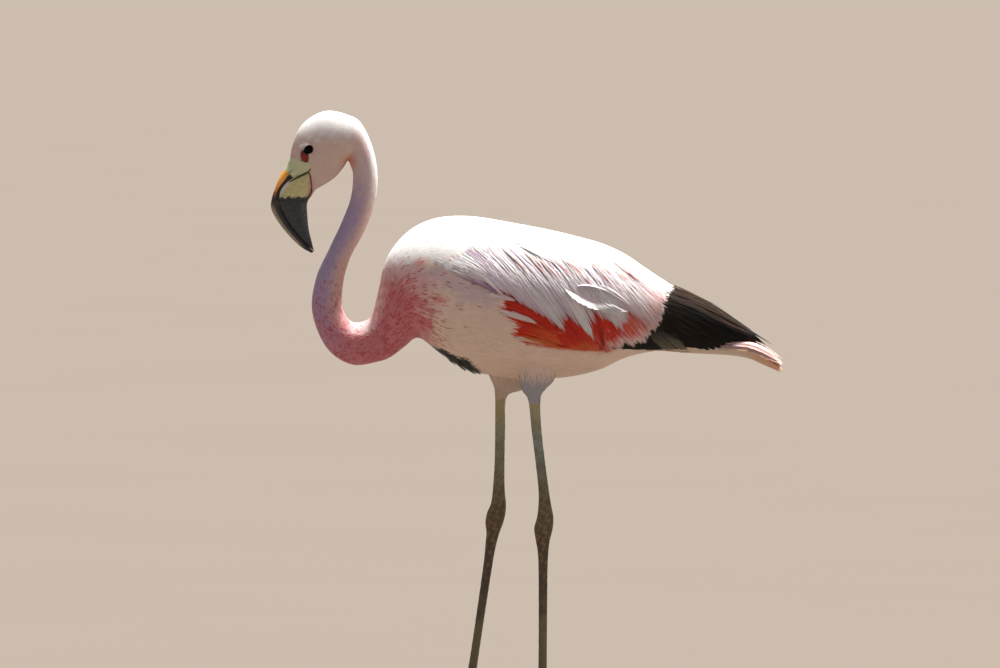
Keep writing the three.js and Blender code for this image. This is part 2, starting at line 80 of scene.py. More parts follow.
PALETTE = {
    "white": "fcf6f3", "lilac": "f8dfe4", "grey": "ead2dc", "blush": "fadcd8", "pink": "f6c4c0",
    "rose": "f0a098", "coral": "e66c5a", "crimson": "d62a10", "deep": "b8200e", "orange": "ea6a2c",
    "beige": "e6cdb8", "black": "262524", "brown": "41332a", "olive": "6a6248", "wine": "b8566a",
    # b48eac, a purple grey, is a painted shade under and between plumes
    "stain": "22241d", "plum": "b48eac", "mauve": "b9969c", "taupe": "c9a898", "belly": "f8d9c4",
    "down": "f6f0ec", "horn": "cfd2a8", "maroon": "4a1814",
}


# ---------------- small helpers


def paint(tone: str) -> Array:
    """Turns a hex code, or a name in the palette, into linear red, green and blue."""
    code = PALETTE.get(tone, tone)
    value = np.array([int(code[i:i + 2], 16) for i in (0, 2, 4)]) / 255
    return where(value <= 0.04045, value / 12.92, ((value + 0.055) / 1.055) ** 2.4)


def paints(tones: list[str] | tuple[str, ...]) -> Array:
    """Several colours, one row each."""
    return np.array([paint(tone) for tone in tones])


def mix(first: Array, second: Array | str, share: Array) -> Array:
    """Colours blended by a share for each point, first where it is 0."""
    second = paint(second) if isinstance(second, str) else second
    share = np.asarray(share)[..., None]
    return first * (1 - share) + second * share


def laid(colour: Array, *coats: tuple[Array | str, Array]) -> Array:
    """A colour with coats laid over it in turn, each a colour and its share for each point."""
    for coat, share in coats:
        colour = mix(colour, coat, share)
    return colour


def smooth(low: float, high: float, value: Array) -> Array:
    """A soft step, 0 below low and 1 above high, with level ends (3u^2 - 2u^3)."""
    u = clip((value - low) / (high - low), 0, 1)
    return u * u * (3 - 2 * u)


def bump(middle: float, spread: float, value: Array) -> Array:
    """A bell of height 1 at middle, exp(-(distance / spread)^2)."""
    return np.exp(-(((value - middle) / spread) ** 2))


def unit(vectors: Array) -> Array:
    """Vectors scaled to length 1."""
    return vectors / maximum(np.linalg.norm(vectors, axis=-1, keepdims=True), 1e-12)


def ring(count: int) -> Array:
    """Angles spaced evenly round a whole turn, in radians."""
    return linspace(0, TURN, count, endpoint=False)


def grid(along: Array, sides: int) -> tuple[Array, Array]:
    """Places along a tube and angles round it, as two arrays of one shape."""
    return along[:, None] + np.zeros(sides), ring(sides)[None] + np.zeros((len(along), 1))


def line(values: Array | tuple, at: Array, keys: Array | None = None) -> Array:
    """Rows of values read off between keys, which are 0, 1, 2 and so on where none are given."""
    keys = np.arange(len(values)) if keys is None else keys
    return np.stack([interp(at, keys, column) for column in np.transpose(values)], axis=-1)


def stack(*parts: Array) -> Array:
    """Parts of one shape side by side along a new last axis."""
    return np.stack(parts, axis=-1)


def bowed(first: Array, middle: Array, last: Array, u: Array) -> Array:
    """A parabola through first and last, drawn towards middle: a Bezier curve at u."""
    return first * (1 - u) ** 2 + middle * 2 * u * (1 - u) + last * u ** 2


def distance(spots: Array, first: Array, second: Array) -> Array:
    """How far each spot is from the nearest of the straight pieces between first and second."""
    away, edge = spots[..., None, :] - first, second - first
    share = clip(np.sum(away * edge, axis=-1) / np.sum(edge * edge, axis=-1), 0, 1)
    return np.linalg.norm(away - share[..., None] * edge, axis=-1).min(axis=-1)


def beside(points: Array, outline: Array) -> Array:
    """How far points are, in the side view, from a line of straight pieces."""
    return distance(points[..., [0, 2]], outline[:-1], outline[1:])


def inside(spots: Array, outline: Array, soft: float) -> Array:
    """How far spots lie within an outline: 1 inside, 0 outside, with a soft edge.

    It is a soft step of the signed distance to the nearest side. The spots may be points too,
    which are seen from the side; soft is half the width of the edge.
    """
    spots = spots[..., [0, -1]]
    first, second = outline, np.roll(outline, -1, axis=0)
    gap, edge = distance(spots, first, second), second - first
    x, z = spots[..., 0, None], spots[..., 1, None]
    fall = where(abs(edge[:, 1]) < 1e-9, 1e-9, edge[:, 1])
    crossed = (first[:, 1] > z) != (second[:, 1] > z)
    crossed = crossed & (x < edge[:, 0] * (z - first[:, 1]) / fall + first[:, 0])
    return smooth(-soft, soft, where(crossed.sum(axis=-1) % 2 == 1, gap, -gap))


def wobble(points: Array, pitch: float, seed: float = 0) -> Array:
    """Smooth pseudo-noise of about -1 to 1: sines of the place, each turned, detuned and shifted.

    The pitch is the size of its patches, and each seed gives another pattern.
    """
    x, y, z = (points[..., k] * (TURN / pitch) for k in range(3))
    waves = ((0.61, 0.83, 0.37, 1, 0), (-0.97, 0.41, 0.71, 2.1, 1.3), (1.31, -1.17, 0.53, 0.7, 4.2),
             (0.29, 1.73, -1.19, 1.9, 0.4))
    return sum(sin(a * x + b * z + c * y + d * seed + e) for a, b, c, d, e in waves) / 2.6


def view(*steps: Spot) -> Array:
    """Spots (x, z) in millimetres, from steps across and down a square view of the left side."""
    return (np.array(steps, dtype=float) - ORIGIN) * (STEP, -STEP)


GAPE = view((311, 168.5), (308.2, 172), (302.5, 174.9), (296, 178.3), (289.6, 181.6), (285, 187),
            (280.7, 192.5), (278, 196.5))  # where the mandibles meet
BILL_SEAM = view((309.8, 170.5), (311.3, 178), (312.3, 186), (311.4, 192), (309, 197))


# ---------------- lofts

# Each row of a loft is a cross-section: the dorsal point (x, z), the ventral point (x, z), the half
# width, and how much wider the dorsal half is than the ventral one. A leg's row ends with its
# distance from the midline.
HEAD_ROWS = (
    (-296.2, 686.2, -275, 657.5, 8, 0.1),
    (-296.9, 694.6, -267.6, 654.4, 11.6, 0.1),
    (-293.8, 712.5, -265, 657.8, 14.6, 0.16),
    (-285, 734.4, -258.1, 661.9, 16.8, 0.1),
    (-270.6, 748.4, -249.4, 667.1, 18.6, 0.04),
    (-250.6, 756.3, -239.4, 674.4, 19.8),
    (-228.1, 752.5, -230, 685.6, 19),
    (-208.8, 741.9, -224.4, 694.4, 17.2),
)
NECK_ROWS = (
    (-193.8, 711.2, -221.9, 690.6, 15.4),
    (-187.5, 676.2, -217.9, 675, 14.2),
    (-190.9, 641.2, -221.2, 646.2, 13.8),
    (-203.8, 606.2, -232.9, 615.6, 13.4),
    (-221.2, 573.8, -246.9, 586.2, 13.2),
    (-230.4, 541.2, -263.8, 548.8, 15),
    (-230.6, 508.8, -269, 505, 17.6),
    (-221.2, 494, -251.2, 460.6, 20.4),
    (-208.1, 492.2, -220, 439.5, 23),
)
BREAST_ROWS = (
    (-195, 501.2, -185.6, 443.4, 25.5, -0.06),
    (-186.2, 532.5, -169.4, 450, 34, -0.08),
    (-180, 561.2, -153.1, 462.5, 46, -0.06),
    (-168.1, 585.6, -136.9, 473.4, 58, -0.02),
    (-146.9, 607.5, -116.9, 460, 69, 0.02),
    (-119.4, 620.9, -91.9, 442.5, 77.5, 0.05),
    (-89.4, 625, -66.9, 431.2, 83, 0.06),
    (-56.9, 623.1, -41.9, 425.6, 85.5, 0.06),
    (-19.4, 616.5, -11.9, 421.9, 85, 0.06),
    (21.9, 608.8, 21.9, 421.9, 81.5, 0.06),
    (59.4, 600, 56.9, 425, 76.5, 0.05),
    (94.4, 590, 90.6, 433.5, 70.5, 0.03),
    (125.6, 575.2, 120.6, 447.5, 63.5),
    (153.1, 555.6, 150.6, 455, 56),
)
WING_END_ROWS = (
    (175.6, 541.2, 175.6, 457.5, 49),
    (203.1, 528.8, 203.1, 457.5, 41),
    (235.6, 511.9, 235.6, 454.2, 32),
    (261.9, 494.4, 261.9, 464.4, 21.5),
    (286.9, 477, 286.9, 466, 12.5),
    (305, 465.6, 305, 462.4, 5),
)
# Under the plumes the flesh itself drops to the rump and the root of the tail.
RUMP_ROWS = (
    (172, 528, 172, 457, 42),
    (196, 500, 196, 457, 30),
    (221, 480, 221, 456, 22),
    (240, 472, 240, 457, 14),
)
TAIL_ROWS = (
    (150, 498, 150, 456, 30),
    (190, 486, 190, 455.5, 26),
    (231.2, 471.9, 231.2, 454, 21),
    (253, 469.5, 252, 452.8, 23),
    (279, 467.5, 276, 449, 26),
    (300, 458, 296, 440.6, 27),
    (316.6, 445, 312.6, 433.4, 22),
    (323, 437.4, 319, 430.4, 17),
)
UPPER_BILL_ROWS = (
    (-297.2, 694.6, -271.2, 682.8, 12.9, -0.1),
    (-304.4, 683.8, -285, 676.6, 12.4, -0.1),
    (-310.6, 671.9, -297.6, 668.8, 10.4),
    (-315.6, 659.4, -306.4, 657.2, 8.4),
    (-319.4, 647.5, -309.2, 646.4, 7.8),
    (-320.6, 636.2, -308.2, 636.8, 7.6),
    (-316.2, 625, -304.6, 628.6, 7.2),
    (-306.2, 610.2, -297.2, 615.2, 6.6),
    (-293.1, 595.2, -286.2, 601.2, 5.6),
    (-280.6, 584.6, -276.2, 589.4, 4.2),
    (-269.4, 578.6, -267.6, 580.8, 2.2),
)
LOWER_BILL_ROWS = (
    (-270.8, 680.6, -267.9, 653.6, 13, 0.1),
    (-284.4, 674.6, -269.6, 650.2, 13.2, 0.1),
    (-296.4, 666.8, -273, 646.4, 12.8, 0.1),
    (-304.8, 656.4, -275.2, 641, 12.2, 0.1),
    (-307.8, 645.8, -275.6, 634.4, 11.8, 0.1),
    (-306.8, 636, -275, 625.4, 11.2, 0.1),
    (-303, 627.4, -274.2, 615.4, 10.4, 0.1),
    (-295.6, 614, -272.6, 604.6, 8.8, 0.1),
    (-284.8, 600.2, -270, 594.6, 6.8, 0.05),
    (-275, 588.8, -267.9, 585.8, 4.6),
    (-267.2, 581.6, -266.2, 580.4, 2),
)
LEFT_LEG_ROWS = (
    (38, 470, -24, 470, 23, 0, -31),
    (37, 438, -15, 438, 21, 0, -29.5),
    (33, 421, -9, 421, 17.5, 0, -28),
    (20.5, 407.5, -6.5, 407.5, 12, 0, -27),
    (16, 396, 0.8, 396, 6.8, 0, -26),
    (17.6, 357.5, 5.2, 357.5, 5.4, 0, -24),
    (22.6, 313.8, 10.6, 313.8, 5.4, 0, -21.4),
    (26.8, 282.5, 13.8, 282.5, 6, 0, -19.6),
    (29.8, 263.8, 13.6, 263.8, 7.8, 0, -18.6),
    (32.4, 249.4, 12, 249.4, 9.2, 0, -17.8),
    (31.6, 235, 8.4, 235, 8.8, 0, -17.2),
    (28, 220, 10.4, 220, 6.8, 0, -16.4),
    (26.2, 205, 12.8, 205, 5.4, 0, -15.6),
    (25.2, 182.5, 13.8, 182.5, 4.7, 0, -14.4),
    (24.6, 120, 14, 120, 4.5, 0, -11),
    (24.4, 57.5, 13.6, 57.5, 4.7, 0, -8),
    (25.2, 26, 12, 26, 6.4, 0, -6.6),
    (25.2, 12, 11, 12, 7, 0, -5.8),
    (24.6, 0.2, 11.4, 0.2, 6.6, 0, -5.6),
)
RIGHT_LEG_ROWS = (
    (0, 470, -58, 470, 23, 0, 31),
    (0, 438, -53, 438, 21, 0, 31),
    (-1, 421, -48, 424, 17, 0, 31.5),
    (-5, 407, -43, 413, 12.5, 0, 32),
    (-25.8, 397, -40.6, 401, 6.8, 0, 32.4),
    (-27.8, 357.5, -40.4, 357.5, 5.4, 0, 33.4),
    (-28.6, 313.8, -41.2, 313.8, 5.4, 0, 34.4),
    (-28.4, 282.5, -43.2, 282.5, 6, 0, 35.2),
    (-26.8, 263.8, -45.6, 263.8, 7.8, 0, 35.6),
    (-27.3, 251.8, -50.5, 251.8, 9.2, 0, 35.8),
    (-30, 240, -52.6, 240, 8.8, 0, 36),
    (-35, 226.2, -51.4, 226.2, 6.8, 0, 36.4),
    (-39.4, 210, -52.8, 210, 5.4, 0, 36.8),
    (-43.6, 187.5, -55, 187.5, 4.7, 0, 37.2),
    (-53, 126.2, -63.6, 126.2, 4.5, 0, 38.4),
    (-62.2, 63.8, -73, 63.8, 4.7, 0, 39.6),
    (-66.6, 27, -79.8, 27, 6.4, 0, 40.2),
    (-67, 12, -81.2, 12, 7, 0, 40.6),
    (-67.4, 0.2, -80.6, 0.2, 6.6, 0, 40.8),
)


@dataclass(frozen=True)
class Loft:
    """A surface through ovals strung along a path.

    A place on it is t, which counts rows, and an angle: 0 is the bird's right side, a quarter turn
    is the back and half a turn is the left side.
    """

    rows: Array
    boxy: float = 0.9  # the power of an oval's corners: 1 is an ellipse, less is boxier

    @classmethod
    def through(cls, *tables: tuple[tuple[float, ...], ...]) -> "Loft":
        """Strings tables of rows together, with 0 for the values that a row leaves out."""
        rows = [tuple(row) + (0,) * (7 - len(row)) for table in tables for row in table]
        return cls(np.array(rows, dtype=float))

    @property
    def last(self) -> float:
        """The place of the last row."""
        return len(self.rows) - 1.0

    def section(self, t: Array) -> tuple[Array, Array, Array]:
        """The oval at each place, on a Catmull-Rom curve through the four rows round it.

        Args:
            t: places along the rows.

        Returns:
            The row, the oval's middle (x, z), and the way from there to its dorsal point.
        """
        count = len(self.rows)
        t = clip(t, 0, count - 1)
        i = np.minimum(np.floor(t).astype(int), count - 2)
        f = (t - i)[..., None]
        a, b, c, d = (self.rows[clip(i + k, 0, count - 1)] for k in (-1, 0, 1, 2))
        slope_in, slope_out, rise = (c - a) / 2, (d - b) / 2, c - b
        cubic = slope_in + slope_out - 2 * rise
        row = b + f * (slope_in + f * (rise - slope_in - cubic + f * cubic))
        return row, (row[..., :2] + row[..., 2:4]) / 2, (row[..., :2] - row[..., 2:4]) / 2

    def surface(self, t: Array, angle: Array, lift: Array | float = 0) -> Array:
        """Points at centre + up * sin + side * cos, with up and side grown by the lift.

        Args:
            t: places along the rows.
            angle: angles round the section, of the same shape.
            lift: how far outside the loft each point is, in millimetres.

        Returns:
            Points in millimetres, (..., 3).
        """
        t, angle, lift = np.broadcast_arrays(t, angle, lift)
        row, middle, up = self.section(t)
        half = np.linalg.norm(up, axis=-1)
        across, along = (np.sign(v) * abs(v) ** self.boxy for v in (cos(angle), sin(angle)))
        grow = maximum(half + lift, 0.3) / half
        spot = middle + up * grow[..., None] * along[..., None]
        y = row[..., 6] + maximum(row[..., 4] + lift, 0.3) * across * (1 + row[..., 5] * along)
        return stack(spot[..., 0], y, spot[..., 1])

    def frame(self, t: Array, angle: Array, lift: Array | float = 0) -> tuple[Array, ...]:
        """Points, their change with t and with the angle, and the outward normals."""
        step = 2e-3
        here = self.surface(t, angle, lift)
        by_t = self.surface(t + step, angle, lift) - self.surface(t - step, angle, lift)
        by_a = self.surface(t, angle + step, lift) - self.surface(t, angle - step, lift)
        normal = unit(np.cross(by_a, by_t))
        row, middle, _ = self.section(t)
        core = stack(middle[..., 0], row[..., 6], middle[..., 1])
        outward = np.sign(np.sum(normal * (here - core), axis=-1, keepdims=True))
        width = where((t > step) & (t < self.last - step), 2 * step, step)[..., None]
        return here, by_t / width, by_a / (2 * step), normal * where(outward == 0, 1, outward)

    def walk(self, t: Array, angle: Array, turn: Array, length: Array, steps: Array,
             lift: Array | float = 0) -> tuple[Array, Array]:
        """Paths over the surface from each root, at a steady turn from the way the rows run.

        Args:
            t: the roots' places.
            angle: the roots' angles.
            turn: the turn away from the rows' way, in radians, towards the belly on both sides.
            length: each path's length.
            steps: the shares of the length where the path is wanted, from 0 to 1.
            lift: the height that the path is measured at.

        Returns:
            The paths' places and angles, each (paths, steps).
        """
        places, angles = [t], [angle]
        for gap in np.diff(steps):
            _, by_t, by_a, normal = self.frame(t, angle, lift)
            ahead = unit(by_t)
            sense = turn * np.sign(cos(angle))
            way = ahead * cos(sense)[:, None] + np.cross(normal, ahead) * sin(sense)[:, None]
            e, f, g, a, b = (np.sum(p * q, axis=1) for p, q in (
                (by_t, by_t), (by_t, by_a), (by_a, by_a), (way, by_t), (way, by_a)))
            flat = maximum(e * g - f * f, 1e-6)
            t = clip(t + (a * g - b * f) / flat * gap * length, 0, self.last)
            angle = angle + (e * b - f * a) / flat * gap * length
            places.append(t)
            angles.append(angle)
        return np.stack(places, axis=1), np.stack(angles, axis=1)

    def seen(self, t: Array, spots: Array) -> tuple[Array, Array]:
        """The x that the section at t has at each spot's height, and the height as a share."""
        _, middle, up = self.section(t)
        share = clip(np.sum((spots - middle) * up, axis=-1) / np.sum(up * up, axis=-1), -1, 1)
        return middle[..., 0] + up[..., 0] * share, share

    def locate(self, spots: Array, side: float) -> tuple[Array, Array]:
        """The places that show at given spots in a side view, found by Newton's steps.

        A spot beyond the outline goes to the nearest place on the back or the belly.

        Args:
            spots: (..., 2) of x and z.
            side: -1 for the bird's left side, 1 for its right.

        Returns:
            Places and angles.
        """
        middles = (self.rows[:, 0] + self.rows[:, 2]) / 2
        first = int(np.argmax(middles > BREAST_FROM))
        t = interp(spots[..., 0], middles[first:], np.arange(first, len(middles)))
        for _ in range(7):
            across, _ = self.seen(t, spots)
            slope = (self.seen(t + 0.02, spots)[0] - across) / 0.02
            t = clip(t + (spots[..., 0] - across) / maximum(slope, 2), first, self.last)
        _, high = self.seen(t, spots)
        rise = np.arcsin(clip(np.sign(high) * abs(high) ** (1 / self.boxy), -1, 1))
        return t, where(side > 0, rise, math.pi - rise)

    def strewn(self, span: Spot, gaps: Table, across: float, rng: Rng) -> tuple[Array, Array]:
        """Roots in staggered rows round the loft, evenly spaced over its surface.

        Args:
            span: the first and last place.
            gaps: the gap between rows at some places, in millimetres.
            across: the gap within a row, as a share of the one between rows.
            rng: the source of the jitter.

        Returns:
            The roots' places and angles.
        """
        t = linspace(*span, 500)
        around = linspace(0, TURN, 97)
        points, gap = self.surface(t[:, None], around), interp(t[:-1], *gaps)
        pace = np.linalg.norm(np.diff(points, axis=0), axis=2).mean(axis=1) / gap
        counted = concatenate([[0], np.cumsum(pace)])
        rows = interp(np.arange(0.5, counted[-1]), counted, t)
        drift = interp(rows, t[:-1], gap / maximum(pace * gap, 1e-6)) * (t[1] - t[0])
        roots_t, roots_a = [], []
        for k, (place, width) in enumerate(zip(rows, across * interp(rows, *gaps))):
            edge = self.surface(full(97, place), around)
            travelled = concatenate([[0], np.cumsum(np.linalg.norm(np.diff(edge, axis=0), axis=1))])
            number = max(int(travelled[-1] / width), 4)
            marks = (np.arange(number) + 0.5 * (k % 2) + rng.uniform(-0.3, 0.3, number)) / number
            roots_a.append(interp((marks % 1) * travelled[-1], travelled, around))
            roots_t.append(place + rng.uniform(-0.45, 0.45, number) * drift[k])
        return clip(concatenate(roots_t), *span), concatenate(roots_a)


BODY = Loft.through(HEAD_ROWS, NECK_ROWS, BREAST_ROWS, WING_END_ROWS)
FLESH = Loft.through(HEAD_ROWS, NECK_ROWS, BREAST_ROWS, RUMP_ROWS)
TAIL = Loft.through(TAIL_ROWS)
NAPE, NECK_BASE, SHOULDER, RUMP, WING_END = 7.5, 16.5, 21, 28.3, 31  # places along BODY
BREAST_FROM = -195  # where the neck's base ends and plumes can lie, in millimetres along x
SIDES = (("left", -1), ("right", 1))
LEGS = ((-1, LEFT_LEG_ROWS), (1, RIGHT_LEG_ROWS))


# ---------------- meshes


@dataclass
class Facets:
    """A mesh as arrays: points in millimetres, faces, values at each point, and a map."""

    points: Array
    corners: Array
    starts: Array
    values: dict[str, Array]
    bake_map: Array | None = None
    flat: Array | None = None  # which faces are shaded flat, so that a vane's edge stays crisp
    normals: Array | None = None  # at each corner, or 0 where the mesh's own one is kept

    @classmethod
    def merged(cls, *parts: "Facets") -> "Facets":
        """Several meshes as one, with the values and the map that all of them have."""
        names = [name for name in parts[0].values if all(name in part.values for part in parts)]
        mapped = all(part.bake_map is not None for part in parts)
        points = np.cumsum([0] + [len(part.points) for part in parts])
        corners = np.cumsum([0] + [len(part.corners) for part in parts])
        flat = [np.zeros(len(part.starts), bool) if part.flat is None else part.flat for part in parts]
        normals = [np.zeros((len(part.corners), 3)) if part.normals is None else part.normals
                   for part in parts]
        return cls(
            concatenate([part.points for part in parts]),
            concatenate([part.corners + first for part, first in zip(parts, points)]),
            concatenate([part.starts + first for part, first in zip(parts, corners)]),
            {name: concatenate([part.values[name] for part in parts]) for name in names},
            concatenate([part.bake_map for part in parts]) if mapped else None,
            concatenate(flat),
            concatenate(normals),
        )

    def piece(self, name: str, finish: bpy.types.Material, slot: str, *nodes: str) -> None:
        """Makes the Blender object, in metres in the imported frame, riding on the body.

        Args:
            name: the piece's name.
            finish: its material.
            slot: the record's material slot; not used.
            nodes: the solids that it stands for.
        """
        mesh = bpy.data.meshes.new(name)
        mesh.vertices.add(len(self.points))
        mesh.vertices.foreach_set("co", ((self.points + Frame.shift) * METRES).ravel())
        mesh.loops.add(len(self.corners))
        mesh.loops.foreach_set("vertex_index", self.corners.astype(np.int32))
        mesh.polygons.add(len(self.starts))
        mesh.polygons.foreach_set("loop_start", self.starts.astype(np.int32))
        mesh.update(calc_edges=True)
        flat = np.zeros(len(self.starts), bool) if self.flat is None else self.flat
        mesh.polygons.foreach_set("use_smooth", ~flat)
        for label, value in self.values.items():
            if value.ndim == 2:
                store = mesh.attributes.new(label, "FLOAT_COLOR", "POINT")
                store.data.foreach_set("color", np.c_[value, np.ones(len(value))].ravel())
            else:
                store = mesh.attributes.new(label, "FLOAT", "POINT")
                store.data.foreach_set("value", value.astype(np.float32))
        if self.bake_map is not None:
            mesh.uv_layers.new(name="OFBake").data.foreach_set("uv", self.bake_map.ravel())
        if self.normals is not None:
            mesh.normals_split_custom_set(self.normals.tolist())
        mesh.materials.append(finish)
        item = bpy.data.objects.new(name, mesh)
        bpy.context.scene.collection.objects.link(item)
        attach(item, "root")
        if nodes:
            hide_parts(*nodes)
        LOG.info("%s: %d triangles", name, len(self.corners) - 2 * len(self.starts))


class Frame:
    """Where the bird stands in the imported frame."""

    shift: Array = np.zeros(3)

    @classmethod
    def find(cls) -> None:
        """Ties the bird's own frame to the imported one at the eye."""
        low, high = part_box("eye_left")
        cls.shift = np.array([(low[0] + high[0]) / 2 / METRES - EYE_X, 0.0, 0.0])


def tube(points: Array, tint: Array | str = "white") -> Facets:
    """A closed tube: quads between neighbouring rings, and one flat face over each end.

    Args:
        points: (rings, sides, 3), going round each ring the same way.
        tint: its colour, or the colour of each point.

    Returns:
        The mesh, with its faces pointing out.
    """
    rings, sides = points.shape[:2]
    row, side = np.meshgrid(np.arange(rings - 1) * sides, np.arange(sides), indexing="ij")
    after = (side + 1) % sides
    quads = stack(row + side, row + after, row + sides + after, row + sides + side).reshape(-1, 4)
    ends = [np.arange(sides)[::-1], (rings - 1) * sides + np.arange(sides)]
    spots = points.reshape(-1, 3)
    a, b, c = (spots[quads[:, k]] - spots[0] for k in (0, 1, 2))
    if np.sum(a * np.cross(b, c)) < 0:
        quads, ends = quads[:, ::-1], [end[::-1] for end in ends]
    starts = np.append(np.arange(len(quads)) * 4, len(quads) * 4 + np.array([0, sides]))
    tint = np.broadcast_to(paint(tint) if isinstance(tint, str) else tint, points.shape)
    return Facets(spots, concatenate([quads.ravel(), *ends]), starts, {"tint": tint.reshape(-1, 3)})


@dataclass(frozen=True)
class Vane:
    """The cut of one kind of feather: its outline, its section and how finely it is drawn."""

    rise: float = 0.3  # the share of the length over which it widens
    shoulder: float = 0.6  # where its tip begins
    point: float = 0.5  # 0.5 is a round tip, 1 and over a pointed one
    stations: int = 5
    across: int = 3  # points over the top, from edge to edge
    cup: float = 0.12  # how far its edges drop, as a share of its half width
    thickness: float = 0.25  # at the shaft, in millimetres
    frayed: float = 0  # how ragged its edge is, as a share of the half width
    soft: float = 0  # how far its shading follows the surface that it lies over

    def shares(self) -> Array:
        """Stations along the feather, closer together towards its tip."""
        return linspace(0, 1, self.stations) ** 0.8

    def outline(self, s: Array) -> Array:
        """The half width at each share: a quarter oval up, then a tip of the given point."""
        up = np.sqrt(clip(1 - (1 - clip(s / self.rise, 0, 1)) ** 2, 0, 1))
        down = clip((s - self.shoulder) / (1 - self.shoulder), 0, 1)
        return maximum(up * (1 - down ** 2) ** self.point, 0.06)

    def section(self) -> tuple[Array, Array]:
        """The points round its section: how far across each is, and how high, 1 over the top."""
        x = linspace(-1, 1, self.across)
        under = linspace(1, -1, 2 + self.across // 2)[1:-1] if self.across > 3 else x[:0]
        return np.append(x, under), np.append(np.ones(len(x)), full(len(under), -0.4))


@dataclass
class Bed:
    """Feathers ready to be made: paths over a loft and what each one is like."""

    loft: Loft
    places: Array
    angles: Array
    heights: Array
    width: Array
    length: Array
    base: Array  # the colour at the root, (n, 3)
    tip: Array  # the colour at the tip, (n, 3)
    roll: Array
    blend: Spot = (0.35, 0.9)  # where along it the tip's colour comes in

    def made(self, vane: Vane, rng: Rng) -> Facets:
        """Every feather as a thin closed blade round its own path.

        A point is path + side * x * w(s) + normal * (shaft * (1 - x^2) - cup * x^2 * w(s)), for x
        from -1 to 1 across the vane and s from 0 to 1 along it.

        Args:
            vane: the cut of the feathers.
            rng: the source of the frayed edges.

        Returns:
            One mesh of all of them.
        """
        s, (x, top) = vane.shares(), vane.section()
        shape = count, stations, sides = *self.places.shape, len(x)
        middle, _, _, outward = self.loft.frame(self.places, self.angles, self.heights)
        ahead, turn = unit(np.gradient(middle, axis=1)), self.roll[:, None, None]
        side = unit(np.cross(outward, ahead))
        normal = unit(outward * cos(turn) + side * sin(turn))
        side = unit(np.cross(normal, ahead))
        half = (vane.outline(s) * self.width[:, None] / 2)[..., None]
        spread = x * half * (1 + vane.frayed * rng.uniform(-1, 1, shape))
        shaft = vane.thickness * (1 - 0.8 * s)[:, None]
        raised = shaft * (1 - x ** 2) * top - vane.cup * x ** 2 * half
        points = middle[:, :, None] + side[:, :, None] * spread[..., None]
        points = points + normal[:, :, None] * raised[..., None]
        blade, each = tube(points[0]), np.arange(count)[:, None]
        corners = (blade.corners + each * stations * sides).ravel()
        starts = (blade.starts + each * len(blade.corners)).ravel()
        below = np.tile(np.arange(sides) >= vane.across - 1, stations - 1)
        flat = np.tile(np.append(below, [True, True]), count)
        tint = mix(self.base[:, None], self.tip[:, None], smooth(*self.blend, s)) * FEATHER_WHITE
        slant = s[:, None] * self.length[:, None, None] - abs(spread) * 1.4
        barb, across, along = (part.reshape(-1) for part in np.broadcast_arrays(slant, x, s[:, None]))
        values = {"tint": np.repeat(tint.reshape(-1, 3), sides, axis=0), "barb": barb,
                  "across": across, "along": along}
        root = np.stack([self.places[:, 0] / self.loft.last, (self.angles[:, 0] / TURN) % 1], axis=1)
        patch = np.stack(np.broadcast_arrays(s[:, None], 0.5 + x / 2), axis=-1) * BAKE_PATCH
        at = (0.01 + root * 0.97)[:, None] + patch.reshape(1, -1, 2)
        shaded = None
        if vane.soft > 0:
            shaded = unit(normal * (1 - vane.soft) + outward * vane.soft)
            shaded = np.repeat(shaded.reshape(-1, 3), sides, axis=0)[corners]
            sizes = np.diff(np.append(starts, len(corners)))
            shaded = shaded * ~np.repeat(flat, sizes)[:, None]
        return Facets(points.reshape(-1, 3), corners, starts, values, at.reshape(-1, 2)[corners],
                      flat, shaded)


# ---------------- materials


class Nodes:
    """Adds shader nodes to a tree and joins them."""

    def __init__(self, tree: bpy.types.NodeTree) -> None:
        """Keeps the tree."""
        self.tree = tree

    def give(self, socket: Socket, value: object) -> None:
        """Sets a socket to a value, or joins another socket to it."""
        if isinstance(value, Socket):
            self.tree.links.new(value, socket)
        else:
            socket.default_value = value

    def add(self, kind: str, **settings: object) -> bpy.types.Node:
        """Adds a node; a setting that is named as an input goes to it, any other to the node."""
        node = self.tree.nodes.new(kind)
        for name, value in settings.items():
            if hasattr(node, name):
                setattr(node, name, value)
            else:
                self.give(node.inputs[name.replace("_", " ")], value)
        return node

    def maths(self, operation: str, first: object, second: object = 0) -> Socket:
        """A Math node on two sockets or numbers; returns its output."""
        node = self.add("ShaderNodeMath", operation=operation)
        self.give(node.inputs[0], first)
        self.give(node.inputs[1], second)
        return node.outputs[0]

    def value(self, name: str, output: str = "Fac") -> Socket:
        """The mesh's own value of that name, or its colour."""
        return self.add("ShaderNodeAttribute", attribute_name=name).outputs[output]

    def darkened(self, colour: object, share: object) -> Socket:
        """A colour multiplied by a share."""
        node = self.add("ShaderNodeMix", data_type="RGBA", blend_type="MULTIPLY")
        for place, value in ((0, 1), (6, colour), (7, share)):  # its factor and its two colours
            self.give(node.inputs[place], value)
        return node.outputs[2]


def group(name: str, inputs: dict[str, float], outputs: tuple[str, ...]) -> tuple[Nodes, ...]:
    """Starts a shader node group that two or more finishes share.

    Args:
        name: the group's name.
        inputs: its number inputs and their usual values.
        outputs: its number outputs.

    Returns:
        Its nodes, the sockets that it is given and the sockets that it has to fill.
    """
    tree = bpy.data.node_groups.new(name, "ShaderNodeTree")
    for label, usual in inputs.items():
        socket = tree.interface.new_socket(label, in_out="INPUT", socket_type="NodeSocketFloat")
        socket.default_value = usual
    for label in outputs:
        tree.interface.new_socket(label, in_out="OUTPUT", socket_type="NodeSocketFloat")
    nodes = Nodes(tree)
    return nodes, nodes.add("NodeGroupInput").outputs, nodes.add("NodeGroupOutput").inputs


